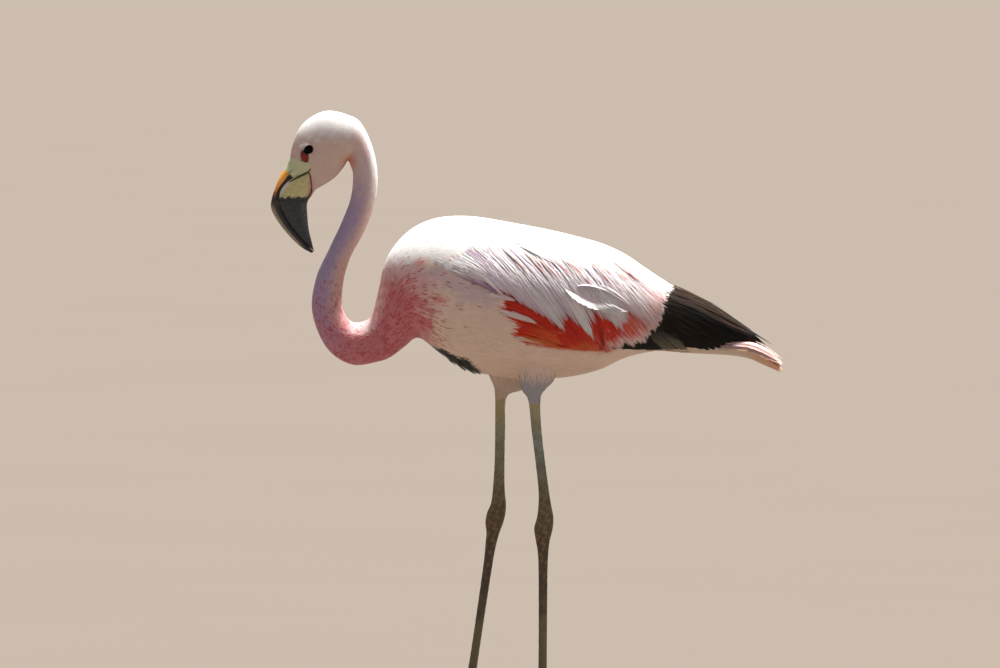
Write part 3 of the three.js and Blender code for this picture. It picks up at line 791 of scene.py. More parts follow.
@cache
def barbs() -> bpy.types.NodeTree:
    """Fine slanting barbs and a shaft, from the values barb and across: a height and a shade."""
    nodes, given, made = group("barbs", {"Pitch": 5, "Shaft": 9, "Depth": 0.04}, ("Height", "Shade"))
    wave = nodes.maths("SINE", nodes.maths("MULTIPLY", nodes.value("barb"), given["Pitch"]))
    shaft = nodes.maths("ABSOLUTE", nodes.value("across"))
    shaft = nodes.maths("SUBTRACT", 1, nodes.maths("MULTIPLY", shaft, given["Shaft"]))
    shaft = nodes.maths("MAXIMUM", shaft, 0)
    nodes.give(made["Height"], nodes.maths("ADD", nodes.maths("MULTIPLY", wave, 0.5), shaft))
    deep = nodes.maths("MULTIPLY", nodes.maths("ADD", wave, 1), given["Depth"])
    shade = nodes.maths("SUBTRACT", 1, deep)
    nodes.give(made["Shade"], nodes.maths("ADD", shade, nodes.maths("MULTIPLY", shaft, -0.08)))
    return nodes.tree


@cache
def mottle() -> bpy.types.NodeTree:
    """Soft cloudy patches over the object's own coordinates: a shade about 1 and a height."""
    nodes, given, made = group("mottle", {"Scale": 60, "Strength": 0.3}, ("Shade", "Height"))
    place = nodes.add("ShaderNodeTexCoord").outputs["Object"]
    noise = nodes.add("ShaderNodeTexNoise", Detail=4, Roughness=0.6, Vector=place,
                      Scale=given["Scale"]).outputs[0]
    swing = nodes.maths("MULTIPLY", nodes.maths("SUBTRACT", noise, 0.5), given["Strength"])
    nodes.give(made["Shade"], nodes.maths("ADD", 1, swing))
    nodes.give(made["Height"], noise)
    return nodes.tree


@cache
def scales() -> bpy.types.NodeTree:
    """Small horny scales: rounded cells with dark seams, as a height and as a shade."""
    nodes, given, made = group("scales", {"Scale": 400, "Seam": 0.4}, ("Height", "Shade"))
    place = nodes.add("ShaderNodeTexCoord").outputs["Object"]
    cells = nodes.add("ShaderNodeTexVoronoi", feature="DISTANCE_TO_EDGE", Vector=place,
                      Scale=given["Scale"]).outputs["Distance"]
    seam = nodes.add("ShaderNodeMapRange", interpolation_type="SMOOTHSTEP", From_Max=0.12,
                     Value=cells).outputs[0]
    nodes.give(made["Height"], seam)
    dark = nodes.maths("MULTIPLY", nodes.maths("SUBTRACT", 1, seam), given["Seam"])
    nodes.give(made["Shade"], nodes.maths("SUBTRACT", 1, dark))
    return nodes.tree


@dataclass(frozen=True)
class Finish:
    """A finish whose colour is the mesh's own tint, shaded by one or two shared effects."""

    name: str
    roughness: float = 0.8
    sheen: float = 0
    scatter: float = 0
    specular: float = 0.5
    barb_depth: float = 0
    barb_pitch: float = 5
    barb_shaft: float = 9
    mottle_size: float = 90
    mottle_strength: float = 0.15
    scale_size: float = 0
    scale_seam: float = 0.4
    relief: float = 0.3
    relief_depth: float = 0.0002

    def material(self) -> bpy.types.Material:
        """Builds the material."""
        made = bpy.data.materials.new(self.name)
        made.use_nodes = True
        nodes, shader = Nodes(made.node_tree), made.node_tree.nodes["Principled BSDF"].inputs
        for label, value in (("Specular IOR Level", self.specular), ("Sheen Weight", self.sheen),
                             ("Sheen Roughness", 0.5), ("Subsurface Weight", self.scatter),
                             ("Subsurface Scale", 0.003)):
            shader[label].default_value = value
        cloud = nodes.add("ShaderNodeGroup", node_tree=mottle(), Scale=self.mottle_size,
                          Strength=self.mottle_strength).outputs
        colour = nodes.darkened(nodes.value("tint", "Color"), cloud["Shade"])
        nodes.give(shader["Roughness"], nodes.maths("MULTIPLY", cloud["Shade"], self.roughness))
        height = nodes.maths("MULTIPLY", cloud["Height"], 0.4)
        effects = []
        if self.barb_depth > 0:
            effects.append(nodes.add("ShaderNodeGroup", node_tree=barbs(), Depth=self.barb_depth,
                                     Pitch=self.barb_pitch, Shaft=self.barb_shaft))
        if self.scale_size > 0:
            effects.append(nodes.add("ShaderNodeGroup", node_tree=scales(), Scale=self.scale_size,
                                     Seam=self.scale_seam))
        for effect in effects:
            colour = nodes.darkened(colour, effect.outputs["Shade"])
            height = nodes.maths("ADD", height, effect.outputs["Height"])
        nodes.give(shader["Base Color"], colour)
        relief = nodes.add("ShaderNodeBump", Strength=self.relief, Distance=self.relief_depth,
                           Height=height)
        nodes.give(shader["Normal"], relief.outputs["Normal"])
        return made


class Plumage(Enum):
    """The finishes of the feathers."""

    DOWN = Finish("short_feathers", roughness=0.85, sheen=0.15, scatter=0.12, barb_depth=0.03,
                  barb_shaft=200, specular=0.25, relief=0.2, relief_depth=0.0001)
    PLUME = Finish("long_plumes", roughness=0.75, sheen=0.2, scatter=0.15, barb_depth=0.07,
                   specular=0.3, barb_pitch=4, relief_depth=0.0003)
    QUILL = Finish("flight_quills", roughness=0.85, barb_depth=0.12, barb_pitch=3, specular=0.04,
                   mottle_strength=0.5, relief_depth=0.0003)


# ---------------- markings


@dataclass(frozen=True)
class Markings:
    """The bird's colours as a function of the place, shared by its skin and every feather."""

    bare: ClassVar[Array] = view(
        (288.5, 157.5), (297, 158), (301, 161), (305, 163), (309.5, 162), (310.4, 168),
        (310.4, 175), (311.6, 185), (311.8, 192), (308, 197), (290, 200), (280, 186), (284, 172))
    breast: ClassVar[Array] = view(
        (356, 356), (358, 322), (368, 298), (382, 280), (404, 278), (420, 290), (431, 306),
        (437, 320), (434, 338), (418, 350), (400, 366), (376, 372))
    flush: ClassVar[Array] = view(
        (366, 300), (374, 272), (390, 256), (430, 257), (434, 274), (438, 300), (400, 310))
    # a painted shade on the body under the scapulars' leading edge
    shade_under_plumes: ClassVar[Array] = view(
        (428, 262), (455, 270), (490, 281), (506, 300), (490, 306), (470, 299), (450, 288),
        (430, 276))
    wing_red: ClassVar[Array] = view(
        (498, 284), (520, 290), (545, 306), (575, 312), (600, 300), (640, 297), (662, 300),
        (664, 318), (645, 338), (605, 349), (560, 347), (530, 342), (516, 333), (523, 324),
        (506, 311), (506, 305), (520, 303))
    under_scapulars: ClassVar[Array] = view(
        (436, 256), (500, 238), (600, 250), (676, 278), (668, 300), (640, 297), (600, 300),
        (575, 312), (545, 306), (520, 290), (498, 282), (470, 281), (450, 270))
    under_wing: ClassVar[Array] = view(
        (560, 347), (600, 316), (640, 302), (662, 298), (673, 276), (700, 280), (800, 330),
        (800, 356), (700, 355), (640, 353), (600, 352))
    stained: ClassVar[Array] = view(
        (442, 351), (450, 353.5), (460, 356), (472, 362), (481, 371), (470, 380), (450, 372),
        (440, 362))
    coral_tufts: ClassVar[tuple[tuple[float, float, float], ...]] = (  # x, z and reach
        (-130.6, 570, 4.6), (-143, 546.5, 4.2), (-105.6, 522, 5))

    def body(self, t: Array, points: Array) -> Array:
        """The colours at places t along the body's loft, where the points are given in millimetres."""
        x, z = points[..., 0], points[..., 2]
        _, high = BODY.seen(np.minimum(t, BODY.last), points[..., [0, 2]])
        fine = wobble(points, 16, 2)
        nape = mix(paint("baa4c2"), "e8bfb4", smooth(-0.3, 0.7, high + 0.15 * fine))
        throat = bump(-223, 9, x) * bump(691.5, 9, z) * smooth(5, 6, t)
        # a painted highlight: paler over the top of the neck's base
        pale = smooth(0.45, 0.85, high + 0.12 * fine) * smooth(14.4, 15.4, t)
        trunk = smooth(17.2, 19.6, t + 0.3 * fine)
        ragged = stack(fine, 1.6 * wobble(points, 7, 9))
        soiled = inside(points[..., [0, 2]] + 2.5 * ragged, self.stained, 3)
        lore = self.lore_patch(points)
        maroon = mix(paint("maroon"), "a83a32", smooth(0.45, 0.75, lore + 0.1 * wobble(points, 2.2, 4)))
        brow = bump(715.4, 2.2, z - 0.25 * (x + 277)) * bump(-278.5, 6.5, x)
        return laid(
            # the face below the white crown: partly its own pink, partly painted shade
            paint("eacbbb"),
            ("down", smooth(712, 738, z + 4 * fine)),
            ("e2c4c2", smooth(6, 8.4, t + 0.15 * fine)),
            ("down", smooth(0.2, 0.7, high) * smooth(5.5, 6.5, t)),
            (nape, smooth(8.4, 10.5, t + 0.3 * fine)),
            ("e08a62", throat * 0.95),
            ("de868c", smooth(12.4, 16, t + 0.4 * fine)),
            # the painted highlight over the top of the neck's base
            ("fcdcd8", pale * 0.85),
            (self.trunk(t, points), trunk),
            ("stain", smooth(0.3, 0.7, soiled) * trunk),
            (maroon, smooth(0.25, 0.55, lore) * smooth(5, 4, t)),
            ("ffffff", smooth(0.2, 0.5, brow) * smooth(5, 4, t)),
            ("horn", inside(points, self.bare, 0.5) * smooth(4, 3, t)),
        )

    def trunk(self, t: Array, points: Array) -> Array:
        """The trunk's colour: rose, paler underneath but darker low on the belly as painted shade, and
        white over the back, with its patches and a painted shade under the scapulars' leading edge.
        """
        x, z, spots = points[..., 0], points[..., 2], points[..., [0, 2]]
        cloud, fine = wobble(points, 60), wobble(points, 16, 2)
        # painted shade: the belly darkens towards the bottom
        under = mix(paint("belly"), "eac8b2", smooth(452, 422, z + 5 * cloud))
        moved = spots + stack(6 * cloud + 4 * fine, 5 * fine + 4 * cloud)
        return laid(
            paint("fcd6d0"),
            (under, smooth(-150, -90, x + 14 * cloud)),
            ("e0949c", inside(moved, self.flush, 11) * (0.42 + 0.2 * fine)),
            # painted shade under the scapulars' leading edge
            ("da757a", inside(moved, self.breast, 12) * 0.9),
            ("dcc0ca", inside(moved, self.shade_under_plumes, 7) * 0.7),
            ("blush", inside(spots, self.under_scapulars, 4)),
            ("down", smooth(560, 580, z + 5 * fine)),
            *(("coral", bump(across, reach * 1.3, x) * bump(up, reach, z) * 0.75)
              for across, up, reach in self.coral_tufts),
            ("crimson", inside(spots, self.wing_red, 3) * smooth(21, 22, t)),
        )

    @staticmethod
    def lore_patch(points: Array) -> Array:
        """The maroon spot below and before the eye: 1 at its middle, reaching up to the lids."""
        x, z = points[..., 0], points[..., 2]
        tall = where(z > 699.4, 9, 6.2)
        return bump(-277.3, 5.4, x + 0.25 * (z - 699)) * bump(699.4, 1, 699.4 + (z - 699.4) / tall)

    def spotted(self, t: Array, points: Array, rng: Rng) -> Array:
        """How strongly each feather's tip is marked with dark wine, from 0 to 1."""
        x, z = points[..., 0], points[..., 2]
        neck = smooth(11.5, 15, t) * (1 - smooth(16.5, 18.5, t)) * 0.35
        breast = maximum(inside(points, self.breast, 11) * smooth(16, 17.5, t),
                         inside(points, self.flush, 10) * smooth(16.5, 18, t) * 0.3)
        breast = breast * clip(0.45 + 0.7 * wobble(points, 15, 5), 0, 1)
        loose = smooth(-150, -130, x) * (1 - smooth(-95, -70, x)) * 0.03
        loose = loose * (1 - smooth(540, 560, z)) * smooth(480, 500, z)
        strength = clip(neck + breast + loose, 0, 1)
        return where(rng.random(len(x)) < strength, rng.uniform(0.35, 1, len(x)), 0)

    def leg(self, points: Array) -> Array:
        """The colour of the bare legs and feet by height: olive grey, browner from the ankle."""
        x, y, z = (points[..., k] for k in range(3))
        fine, cloud = wobble(points, 9, 3), wobble(points, 34, 6)
        streak = sin(x * 2.3 + 0.4 * fine) * sin(y * 1.9 + 1)
        specks = smooth(0.35, 0.75, wobble(points, 4.6, 7)) * smooth(380, 320, z)
        ankle = smooth(300, 262, z) * smooth(130, 200, z)
        tan = smooth(-0.1, 0.7, wobble(points * [1, 1, 0.6], 9, 12))
        colour = mix(paint("6c7366"), "8a9186", clip(0.5 + 0.5 * cloud, 0, 1))
        colour = mix(colour, "9c8c66", smooth(-5, 5, y) * 0.35)
        return laid(
            colour * (1 + 0.16 * streak * smooth(0, 30, z))[..., None],
            ("76663f", smooth(348, 292, z + 12 * fine) * 0.55),
            ("52402a", smooth(312, 250, z + 14 * fine + 8 * cloud) * 0.8),
            ("3a3024", specks * 0.5),
            ("403429", smooth(240, 214, z + 8 * fine) * 0.6),
            ("946c46", tan * ankle * 0.55),
            ("7f7250", smooth(170, 90, z + 20 * cloud) * 0.8),
            ("5c5038", smooth(24, 8, z + 5 * fine) * 0.6),
            ("aa9b6c", smooth(345, 392, z + 7 * fine) * 0.85),
            ("belly", smooth(393, 405, z)),
        )


# ---------------- skin and coat


def coat_depth(t: Array) -> Array:
    """How deep the short feathers lie over the skin at each place of the body, in millimetres."""
    return interp(t, (0, 1.2, 2.5, 5, 7, 12, 16, 18, 22, 36),
                  (0.5, 0.5, 0.6, 0.8, 0.9, 1, 1.2, 1.5, 2, 2.4))


def jitter(rng: Rng, count: int, spread: float, most: float = 1.5) -> Array:
    """Factors about 1 with the given spread."""
    return clip(rng.normal(1, spread, count), 0.6, most)


@dataclass
class Coat:
    """The skin and the short feathers of the head, neck, breast, back and belly."""

    markings: Markings
    rng: Rng
    sides: int = 112
    eye_clear: float = 7.8  # no feather is rooted closer than this to a spot at the eye's front
    fine: Vane = Vane(stations=4, thickness=0.06, cup=0.02, soft=0.62)
    pointed: Vane = Vane(stations=4, thickness=0.06, cup=0.02, point=0.8, shoulder=0.5, soft=0.62)

    def skin(self) -> Facets:
        """One surface from the face to the root of the tail, under the feathers by their depth."""
        along = concatenate([linspace(0, 7, 130), linspace(7, 17, 150)[1:],
                             linspace(17, FLESH.last, 130)[1:]])
        t, angle = grid(along, self.sides)
        outer = FLESH.surface(t, angle)
        naked = inside(outer, self.markings.bare, 0.5) * (t < 4)
        under_gape = smooth(1.5, -1.5, outer[..., 2] - 681 - 0.5 * (outer[..., 0] + 271))
        depth = coat_depth(t) * (1 - naked) + 3 * naked * under_gape
        depth = depth + 3.5 * inside(outer, Eyes.socket(), 1.5) * (t < 6)
        points = FLESH.surface(t, angle, -depth)
        return tube(points, self.markings.body(t, points) * FEATHER_WHITE)

    def plumes(self, roots: tuple[Array, Array], vane: Vane, length: Array, width: Array,
               turn: Array, stand: float) -> Facets:
        """Short feathers that lie over the body.

        Args:
            roots: the places and angles of the roots.
            vane: their cut.
            length: each one's length.
            width: each one's width.
            turn: each one's turn from the body's way.
            stand: how far their tips stand over the body's outline, in millimetres.

        Returns:
            The feathers, coloured.
        """
        t, angle = roots
        count, depth, steps = len(t), coat_depth(t), vane.shares()
        places, angles = BODY.walk(t, angle, turn, length, steps, -depth)
        lean = (stand + self.rng.normal(0, 0.15 * stand, count))[:, None]
        heights = lean * (1.6 * steps - 0.6) - depth[:, None] * (1 - smooth(0, 0.42, steps))
        base = self.markings.body(t, BODY.surface(places[:, -1], angles[:, -1]))
        base = base * self.rng.normal(1, 0.035, (count, 1))
        spots = self.markings.spotted(t, BODY.surface(t, angle), self.rng)
        tip = mix(base, "bc3c3a", spots * 0.85)
        return Bed(BODY, places, angles, heights, width, length, base * 0.97, tip,
                   self.rng.normal(0, 0.012, count), (0.4, 0.7)).made(vane, self.rng)

    def head(self) -> Facets:
        """Tiny feathers on the face, longer over the crown and nape, off the eyes and bill."""
        keys = (0, 2, 4, 7.5)
        t, angle = BODY.strewn((0.05, NAPE), (keys, (1.11, 1.33, 1.8, 2.4)), PACKED, self.rng)
        points = BODY.surface(t, angle)
        near = np.hypot(points[:, 0] - EYE_X + 0.9, points[:, 2] - Eyes.height + 0.9)
        stays = (near > self.eye_clear) & (inside(points, self.markings.bare, 0.5) < 0.5)
        t, angle, near = t[stays], angle[stays], near[stays]
        size = interp(t, keys, (2.2, 3.2, 5, 8)) * jitter(self.rng, len(t), 0.12)
        size = size * interp(near, (7, 12), (0.62, 1))
        turn = self.rng.normal(0, 0.16, len(t))
        return self.plumes((t, angle), self.fine, size, size * 0.44, turn, 0.05)

    def neck(self) -> Facets:
        """Short feathers along the neck."""
        keys = (7, 16)
        t, angle = BODY.strewn((NAPE - 0.4, NECK_BASE + 0.4), (keys, (2.32, 3.15)), PACKED,
                               self.rng)
        size = interp(t, keys, (8, 11.5)) * jitter(self.rng, len(t), 0.14)
        turn = self.rng.normal(0, 0.12, len(t))
        return self.plumes((t, angle), self.fine, size, size * 0.32, turn, 0.06)

    def trunk(self, span: Spot, heights: Spot = (-2, 2)) -> Facets:
        """The feathers of one part of the breast, back or belly, between two sines of the angle."""
        keys = (16, 19, 24, 31)
        t, angle = BODY.strewn(span, (keys, (2.65, 3.1, 3.85, 4.1)), PACKED, self.rng)
        stays = inside(BODY.surface(t, angle), self.markings.under_wing, 1) < 0.5
        stays = stays & (sin(angle) > heights[0]) & (sin(angle) <= heights[1])
        t, angle = t[stays], angle[stays]
        size = interp(t, keys, (11, 14, 21, 25)) * jitter(self.rng, len(t), 0.15)
        front = smooth(16.4, 17.6, t) * (1 - smooth(19, 21.5, t)) * smooth(-0.3, 0.5, sin(angle))
        turn = self.rng.normal(0.05, 0.1, len(t)) - 0.55 * front
        width = interp(t, keys, (2.6, 3.1, 3.9, 4.4))
        return self.plumes((t, angle), self.pointed, size, width, turn, 0.08)

    def build(self) -> None:
        """Makes the skin and its short feathers."""
        bare = Finish("skin", roughness=0.6, mottle_strength=0.2, scale_size=900,
                      scale_seam=0.1, relief_depth=0.0002).material()
        down = Plumage.DOWN.value.material()
        legs = (Leg(self.markings, side, rows).flesh() for side, rows in LEGS)
        Facets.merged(self.skin(), *legs).piece(
            "skin", bare, "plumage_pale", "head", "neck_upper", "neck_middle", "neck_lower",
            "trunk", "wing_left", "wing_right", "thigh_left", "thigh_right", "shank_left",
            "shank_right", "tarsus_left", "tarsus_right", "foot_left", "foot_right")
        self.head().piece("coat_head", down, "plumage_pale")
        self.neck().piece("coat_neck", down, "plumage_neck")
        self.trunk((NECK_BASE, SHOULDER)).piece("coat_breast", down, "plumage_neck")
        self.trunk((SHOULDER, RUMP), (0, 2)).piece("coat_back", down, "plumage_pale")
        self.trunk((SHOULDER, RUMP), (-2, 0)).piece("coat_belly", down, "plumage_pale")
        self.trunk((RUMP, WING_END - 0.1)).piece("coat_rump", down, "plumage_pale")


# ---------------- bill and eyes


@dataclass
class Bill:
    """The bent bill: a thin upper mandible like a lid on the deep lower one."""

    sides: int = 72
    rings: int = 150
    orange: ClassVar[Array] = view(
        (285.5, 170), (289.8, 173.5), (288.2, 178), (284, 184), (280.5, 189), (278, 196),
        (272, 199), (266, 190), (276, 174))
    # the dark band along the upper mandible's lower edge, a painted shade of the gap between the
    # mandibles
    edge: ClassVar[Array] = view(
        (290, 173.5), (294.5, 178.5), (290, 184), (285, 189), (281, 195), (279, 202), (275.6, 200),
        (276.2, 194), (278.4, 188.5), (281.4, 184), (284.6, 180), (287, 176.6))
    keys: tuple[float, ...] = (0, 2, 3, 4, 6, 8, 10)  # the rows that the next two are given at
    overlap: tuple[float, ...] = (5, 5.5, 4.5, 3, 1.2, 0.8, 0)  # the upper one's lip
    seat: tuple[float, ...] = (8, 8, 7, 5, 4, 2, 0)  # the lower one's rise into it

    def upper_loft(self) -> Loft:
        """The upper mandible's rows with their lower edge brought down over the lower mandible."""
        rows = Loft.through(UPPER_BILL_ROWS).rows
        rows[:, 2:4] += self.reach(rows, self.overlap)
        return Loft(concatenate([[rows[0] + [7, 8, 6, 8, 0, 0, 0]], rows]))

    def lower_loft(self) -> Loft:
        """The lower mandible's rows with their upper edge raised into the upper mandible."""
        rows = Loft.through(LOWER_BILL_ROWS).rows
        rows[:, 0:2] -= self.reach(rows, self.seat)
        return Loft(rows)

    def reach(self, rows: Array, by: tuple[float, ...]) -> Array:
        """Steps down each section, as long as the values that are given at the key rows."""
        return unit(rows[:, 2:4] - rows[:, 0:2]) * interp(np.arange(len(rows)), self.keys, by)[:, None]

    def gape(self, side: float) -> Facets:
        """A thin dark cord along the widest surface at the mouth's corner, its colour a painted shade of
        the gap between the mandibles.
        """
        share = linspace(0, 1, 48)
        spots = line(GAPE[:5], share * 4)
        out = np.max([flank(loft, spots, reach) for loft, reach in (
            (BODY, 3), (self.upper_loft(), 5), (self.lower_loft(), 5))], axis=0)
        out = np.convolve(np.pad(out, 3, mode="edge"), full(7, 1 / 7), mode="valid")
        way = unit(np.gradient(spots, axis=0))
        radius, turn = (0.45 + 0.75 * bump(0.55, 0.35, share))[:, None], ring(10)
        x = spots[:, 0, None] - way[:, 1, None] * radius * cos(turn)
        z = spots[:, 1, None] + way[:, 0, None] * radius * cos(turn)
        y = side * (out[:, None] - 0.2 + radius * sin(turn))
        return tube(stack(x, y, z), "2a1b15")

    def upper(self) -> Facets:
        """The upper mandible, with a groove beside its ridge and a slit of a nostril."""
        loft = self.upper_loft()
        t, angle = grid(linspace(0, loft.last, self.rings), self.sides)
        rise = sin(angle)
        groove = 0.35 * bump(0.5, 0.12, rise) * smooth(3, 4.5, t) * (1 - smooth(9.6, 10.8, t))
        slit = 1.4 * bump(0.3, 0.09, rise - 0.22 * (t - 2)) * bump(2.1, 0.45, t)
        points = loft.surface(t, angle, -groove - slit)
        z, fine = points[..., 2], wobble(points, 7)
        ripe = mix(paint("f8ac44"), "d87430", smooth(668, 652, z + 2 * fine))
        moved = points[..., [0, 2]] + fine[..., None] * 0.6
        # a lighter olive strip along the ridge: partly its own olive, partly a painted highlight
        olive_and_sheen = smooth(0, 0.6, rise) * smooth(644, 630, z) * smooth(584, 592, z)
        return tube(points, laid(
            paint("c2c59c"),
            ("abaa82", smooth(0.1, -0.7, rise) * 0.6),
            (ripe, inside(moved, self.orange, 1.2)),
            ("86452a", smooth(658, 648, z + 2 * fine)),
            ("302d2b", smooth(650, 641, z + 1.5 * fine - 9 * rise)),
            ("ab9c82", olive_and_sheen * (0.7 + 0.15 * fine)),
            # painted shade of the gap between the mandibles
            ("1c1512", inside(points, self.edge, 0.5)),
            # painted shade in the nostril's slit
            ("5a4438", slit / 1.4 * 0.6),
        ))

    def lower(self) -> Facets:
        """The lower mandible: a deep keel, pale at its base and black from the bend on."""
        loft = self.lower_loft()
        t, angle = grid(linspace(0, loft.last, self.rings), self.sides)
        rise = sin(angle)
        groove = 0.5 * bump(0.1, 0.1, rise - 0.05 * t) * smooth(3, 5, t)
        ripples = 0.1 * sin(loft.surface(t, angle)[..., 2] * 1.7 + 3 * rise) * smooth(3.5, 5, t)
        points = loft.surface(t, angle, -groove + ripples)
        z, seam = points[..., 2], beside(points, BILL_SEAM)
        fine, finer = wobble(points, 9, 1), wobble(points, 3, 3)
        streak = 0.5 + 0.5 * sin(26 * rise + 2 * finer)
        black_from = 648.6 + 1.5 * fine + 0.7 * finer
        colour = laid(
            paint("e6dda4"),
            ("d6cd8c", clip(0.5 + 0.3 * fine + 0.3 * (streak - 0.5), 0, 1)),
            ("efe9dd", smooth(2.9, 1.3, beside(points, GAPE[4:])) * 0.85),
            ("d8a898", smooth(4.6, 3.4, seam) * smooth(676, 668, z) * 0.8),
            ("7c3424", smooth(1.7, 1.1, seam)),
            ("303136", smooth(1.4, -1.4, z - black_from)),
        )
        # painted shade: darker at the very tip
        colour = colour * (1 - 0.6 * smooth(594, 588, z))[..., None]
        colour = mix(colour, "565553", smooth(-0.35, -0.9, rise) * smooth(645, 635, z) * 0.7)
        grain = (0.5 + 0.5 * sin(34 * rise + 3 * fine)) * smooth(646, 640, z)
        return tube(points, colour * (0.7 + 1.8 * grain * clip(0.4 + finer, 0, 1))[..., None])

    def build(self) -> None:
        """Makes both mandibles."""
        horn = Finish("bill_horn", roughness=0.45, specular=0.4, mottle_size=260,
                      mottle_strength=0.5, relief=0.4, relief_depth=0.0005).material()
        upper = Facets.merged(self.upper(), self.gape(-1), self.gape(1))
        upper.piece("bill_upper", horn, "bill_dark", "upper_bill")
        self.lower().piece("bill_lower", horn, "bill_pale", "lower_bill")


def flank(loft: Loft, spots: Array, reach: float) -> Array:
    """How far out a loft reaches within 0.8 mm of spots of the side view, 0 where it isn't."""
    t, angle = np.meshgrid(linspace(0, reach, 300), linspace(0.5, 1.5, 160) * math.pi)
    points = loft.surface(t, angle).reshape(-1, 1, 3)
    gap = np.hypot(points[..., 0] - spots[:, 0], points[..., 2] - spots[:, 1])
    return where(gap < 0.8, -points[..., 1], 0).max(axis=0)


@dataclass
class Eyes:
    """The eyes and the lids round them."""

    height: float = 708.6
    out: float = 11.3  # from the midline to the ball's middle
    radius: float = 6.6
    lid_reach: float = 9.7  # from the eye's middle to the end of the bare skin's ring

    @classmethod
    def socket(cls) -> Array:
        """The outline of the eye's socket in the side view."""
        turn = ring(16)
        return np.stack([EYE_X + 5.8 * cos(turn), cls.height + 5.8 * sin(turn)], axis=1)

    def ball(self, side: float) -> Facets:
        """An eyeball: a sphere whose colour rings the pupil, with a slightly bulging cornea."""
        turn, way = grid(linspace(0.02, math.pi - 0.02, 48), 48)
        swell = self.radius * (1 + 0.05 * bump(0, 0.5, turn))
        points = stack(EYE_X + swell * sin(turn) * cos(way), side * self.out + side * swell * cos(turn),
                       self.height + swell * sin(turn) * sin(way))
        streak = 0.5 + 0.5 * sin(way * 23)
        iris = paint("120805") * (0.7 + 0.5 * streak[..., None])
        return tube(points, laid(paint("020202"), (iris, smooth(0.5, 0.56, turn)),
                                 ("040302", smooth(0.72, 0.84, turn))))

    def lids(self, side: float) -> Facets:
        """The bare ring of skin: from the ball it rises to a lid, folds, and sinks in the coat.

        The height over the body at a distance d is a slope up from the ball to the face, plus a
        bell at the lid's edge, less a groove behind it, sinking at last under the feathers.
        """
        ways, (t, angle) = ring(72), self.place()
        shares = np.append(0, linspace(0.46, 1, 28))
        places, angles = BODY.walk(full(72, t), full(72, angle), ways, full(72, self.lid_reach), shares)
        d = shares * self.lid_reach / (1 + 0.1 * cos(2 * (ways - 0.35)))[:, None]
        lift = 0.3 - 1.7 * smooth(6.8, 5.1, d) + 0.6 * bump(5.6, 0.42, d) - 0.25 * bump(6.5, 0.3, d)
        lift = lift - 2.5 * smooth(5.1, 4.7, d) - 2.1 * smooth(7.2, 9.4, d)
        points = BODY.surface(places, angles, lift)
        points[:, 0] = EYE_X, -self.out, self.height
        points = np.swapaxes(points * [1, -side, 1], 0, 1)
        x, z, d = points[..., 0] - EYE_X, points[..., 2] - self.height, d.T
        rim = mix(paint("d2b6aa"), "maroon", smooth(0.3, 0.5, Markings.lore_patch(points)))
        brow = bump(6.8, 2.2, z - 0.25 * (x + 3.8)) * bump(-5.3, 6.5, x)
        return tube(points, laid(paint("080504"), (rim, smooth(5.7, 6.2, d)),
                                 ("ffffff", smooth(0.2, 0.5, brow))))

    def place(self) -> Spot:
        """The eye's place on the left side of the body's loft, the nearest of a fine grid."""
        t, angle = np.meshgrid(linspace(1.5, 5, 240), linspace(2.2, 4.2, 240))
        seen = BODY.surface(t, angle)
        best = np.argmin((seen[..., 0] - EYE_X) ** 2 + (seen[..., 2] - self.height) ** 2)
        return float(t.ravel()[best]), float(angle.ravel()[best])

    def build(self) -> None:
        """Makes both eyes and their lids."""
        wet = Finish("eye", roughness=0.2, specular=0.06, mottle_size=600,
                     mottle_strength=0.1, relief=0.05).material()
        lid = Finish("eyelid", roughness=0.55, mottle_strength=0.2, scale_size=1500,
                     scale_seam=0.2, relief_depth=0.0002).material()
        for name, side in SIDES:
            self.ball(side).piece(f"eyeball_{name}", wet, "eye", f"eye_{name}")
            self.lids(side).piece(f"eyelid_{name}", lid, "plumage_pale")


# ---------------- legs and feet


@dataclass(frozen=True)
class Toe:
    """A toe: its length from the joint, its spread outwards in degrees, and its half widths."""

    length: float
    spread: float
    root: float
    tip: float

    def end(self) -> Array:
        """Its tip's place from the joint, ahead and out."""
        turn = math.radians(self.spread)
        return np.array([math.cos(turn), math.sin(turn)]) * self.length


TOES = {"inner": Toe(62, -33, 4.4, 2.9), "middle": Toe(78, 0, 5, 3.1),
        "outer": Toe(68, 31, 4.4, 2.9)}
FEET = {-1: (18, 5.6, 2), 1: (-74, 40.8, -3)}  # x, distance from the midline, turn in degrees


def blunt(share: Array, start: float, span: float, least: float) -> Array:
    """A quarter oval: 1 up to start, and then a round fall to the least value."""
    return np.sqrt(clip(1 - clip((share - start) / span, 0, 1) ** 2, least, 1))


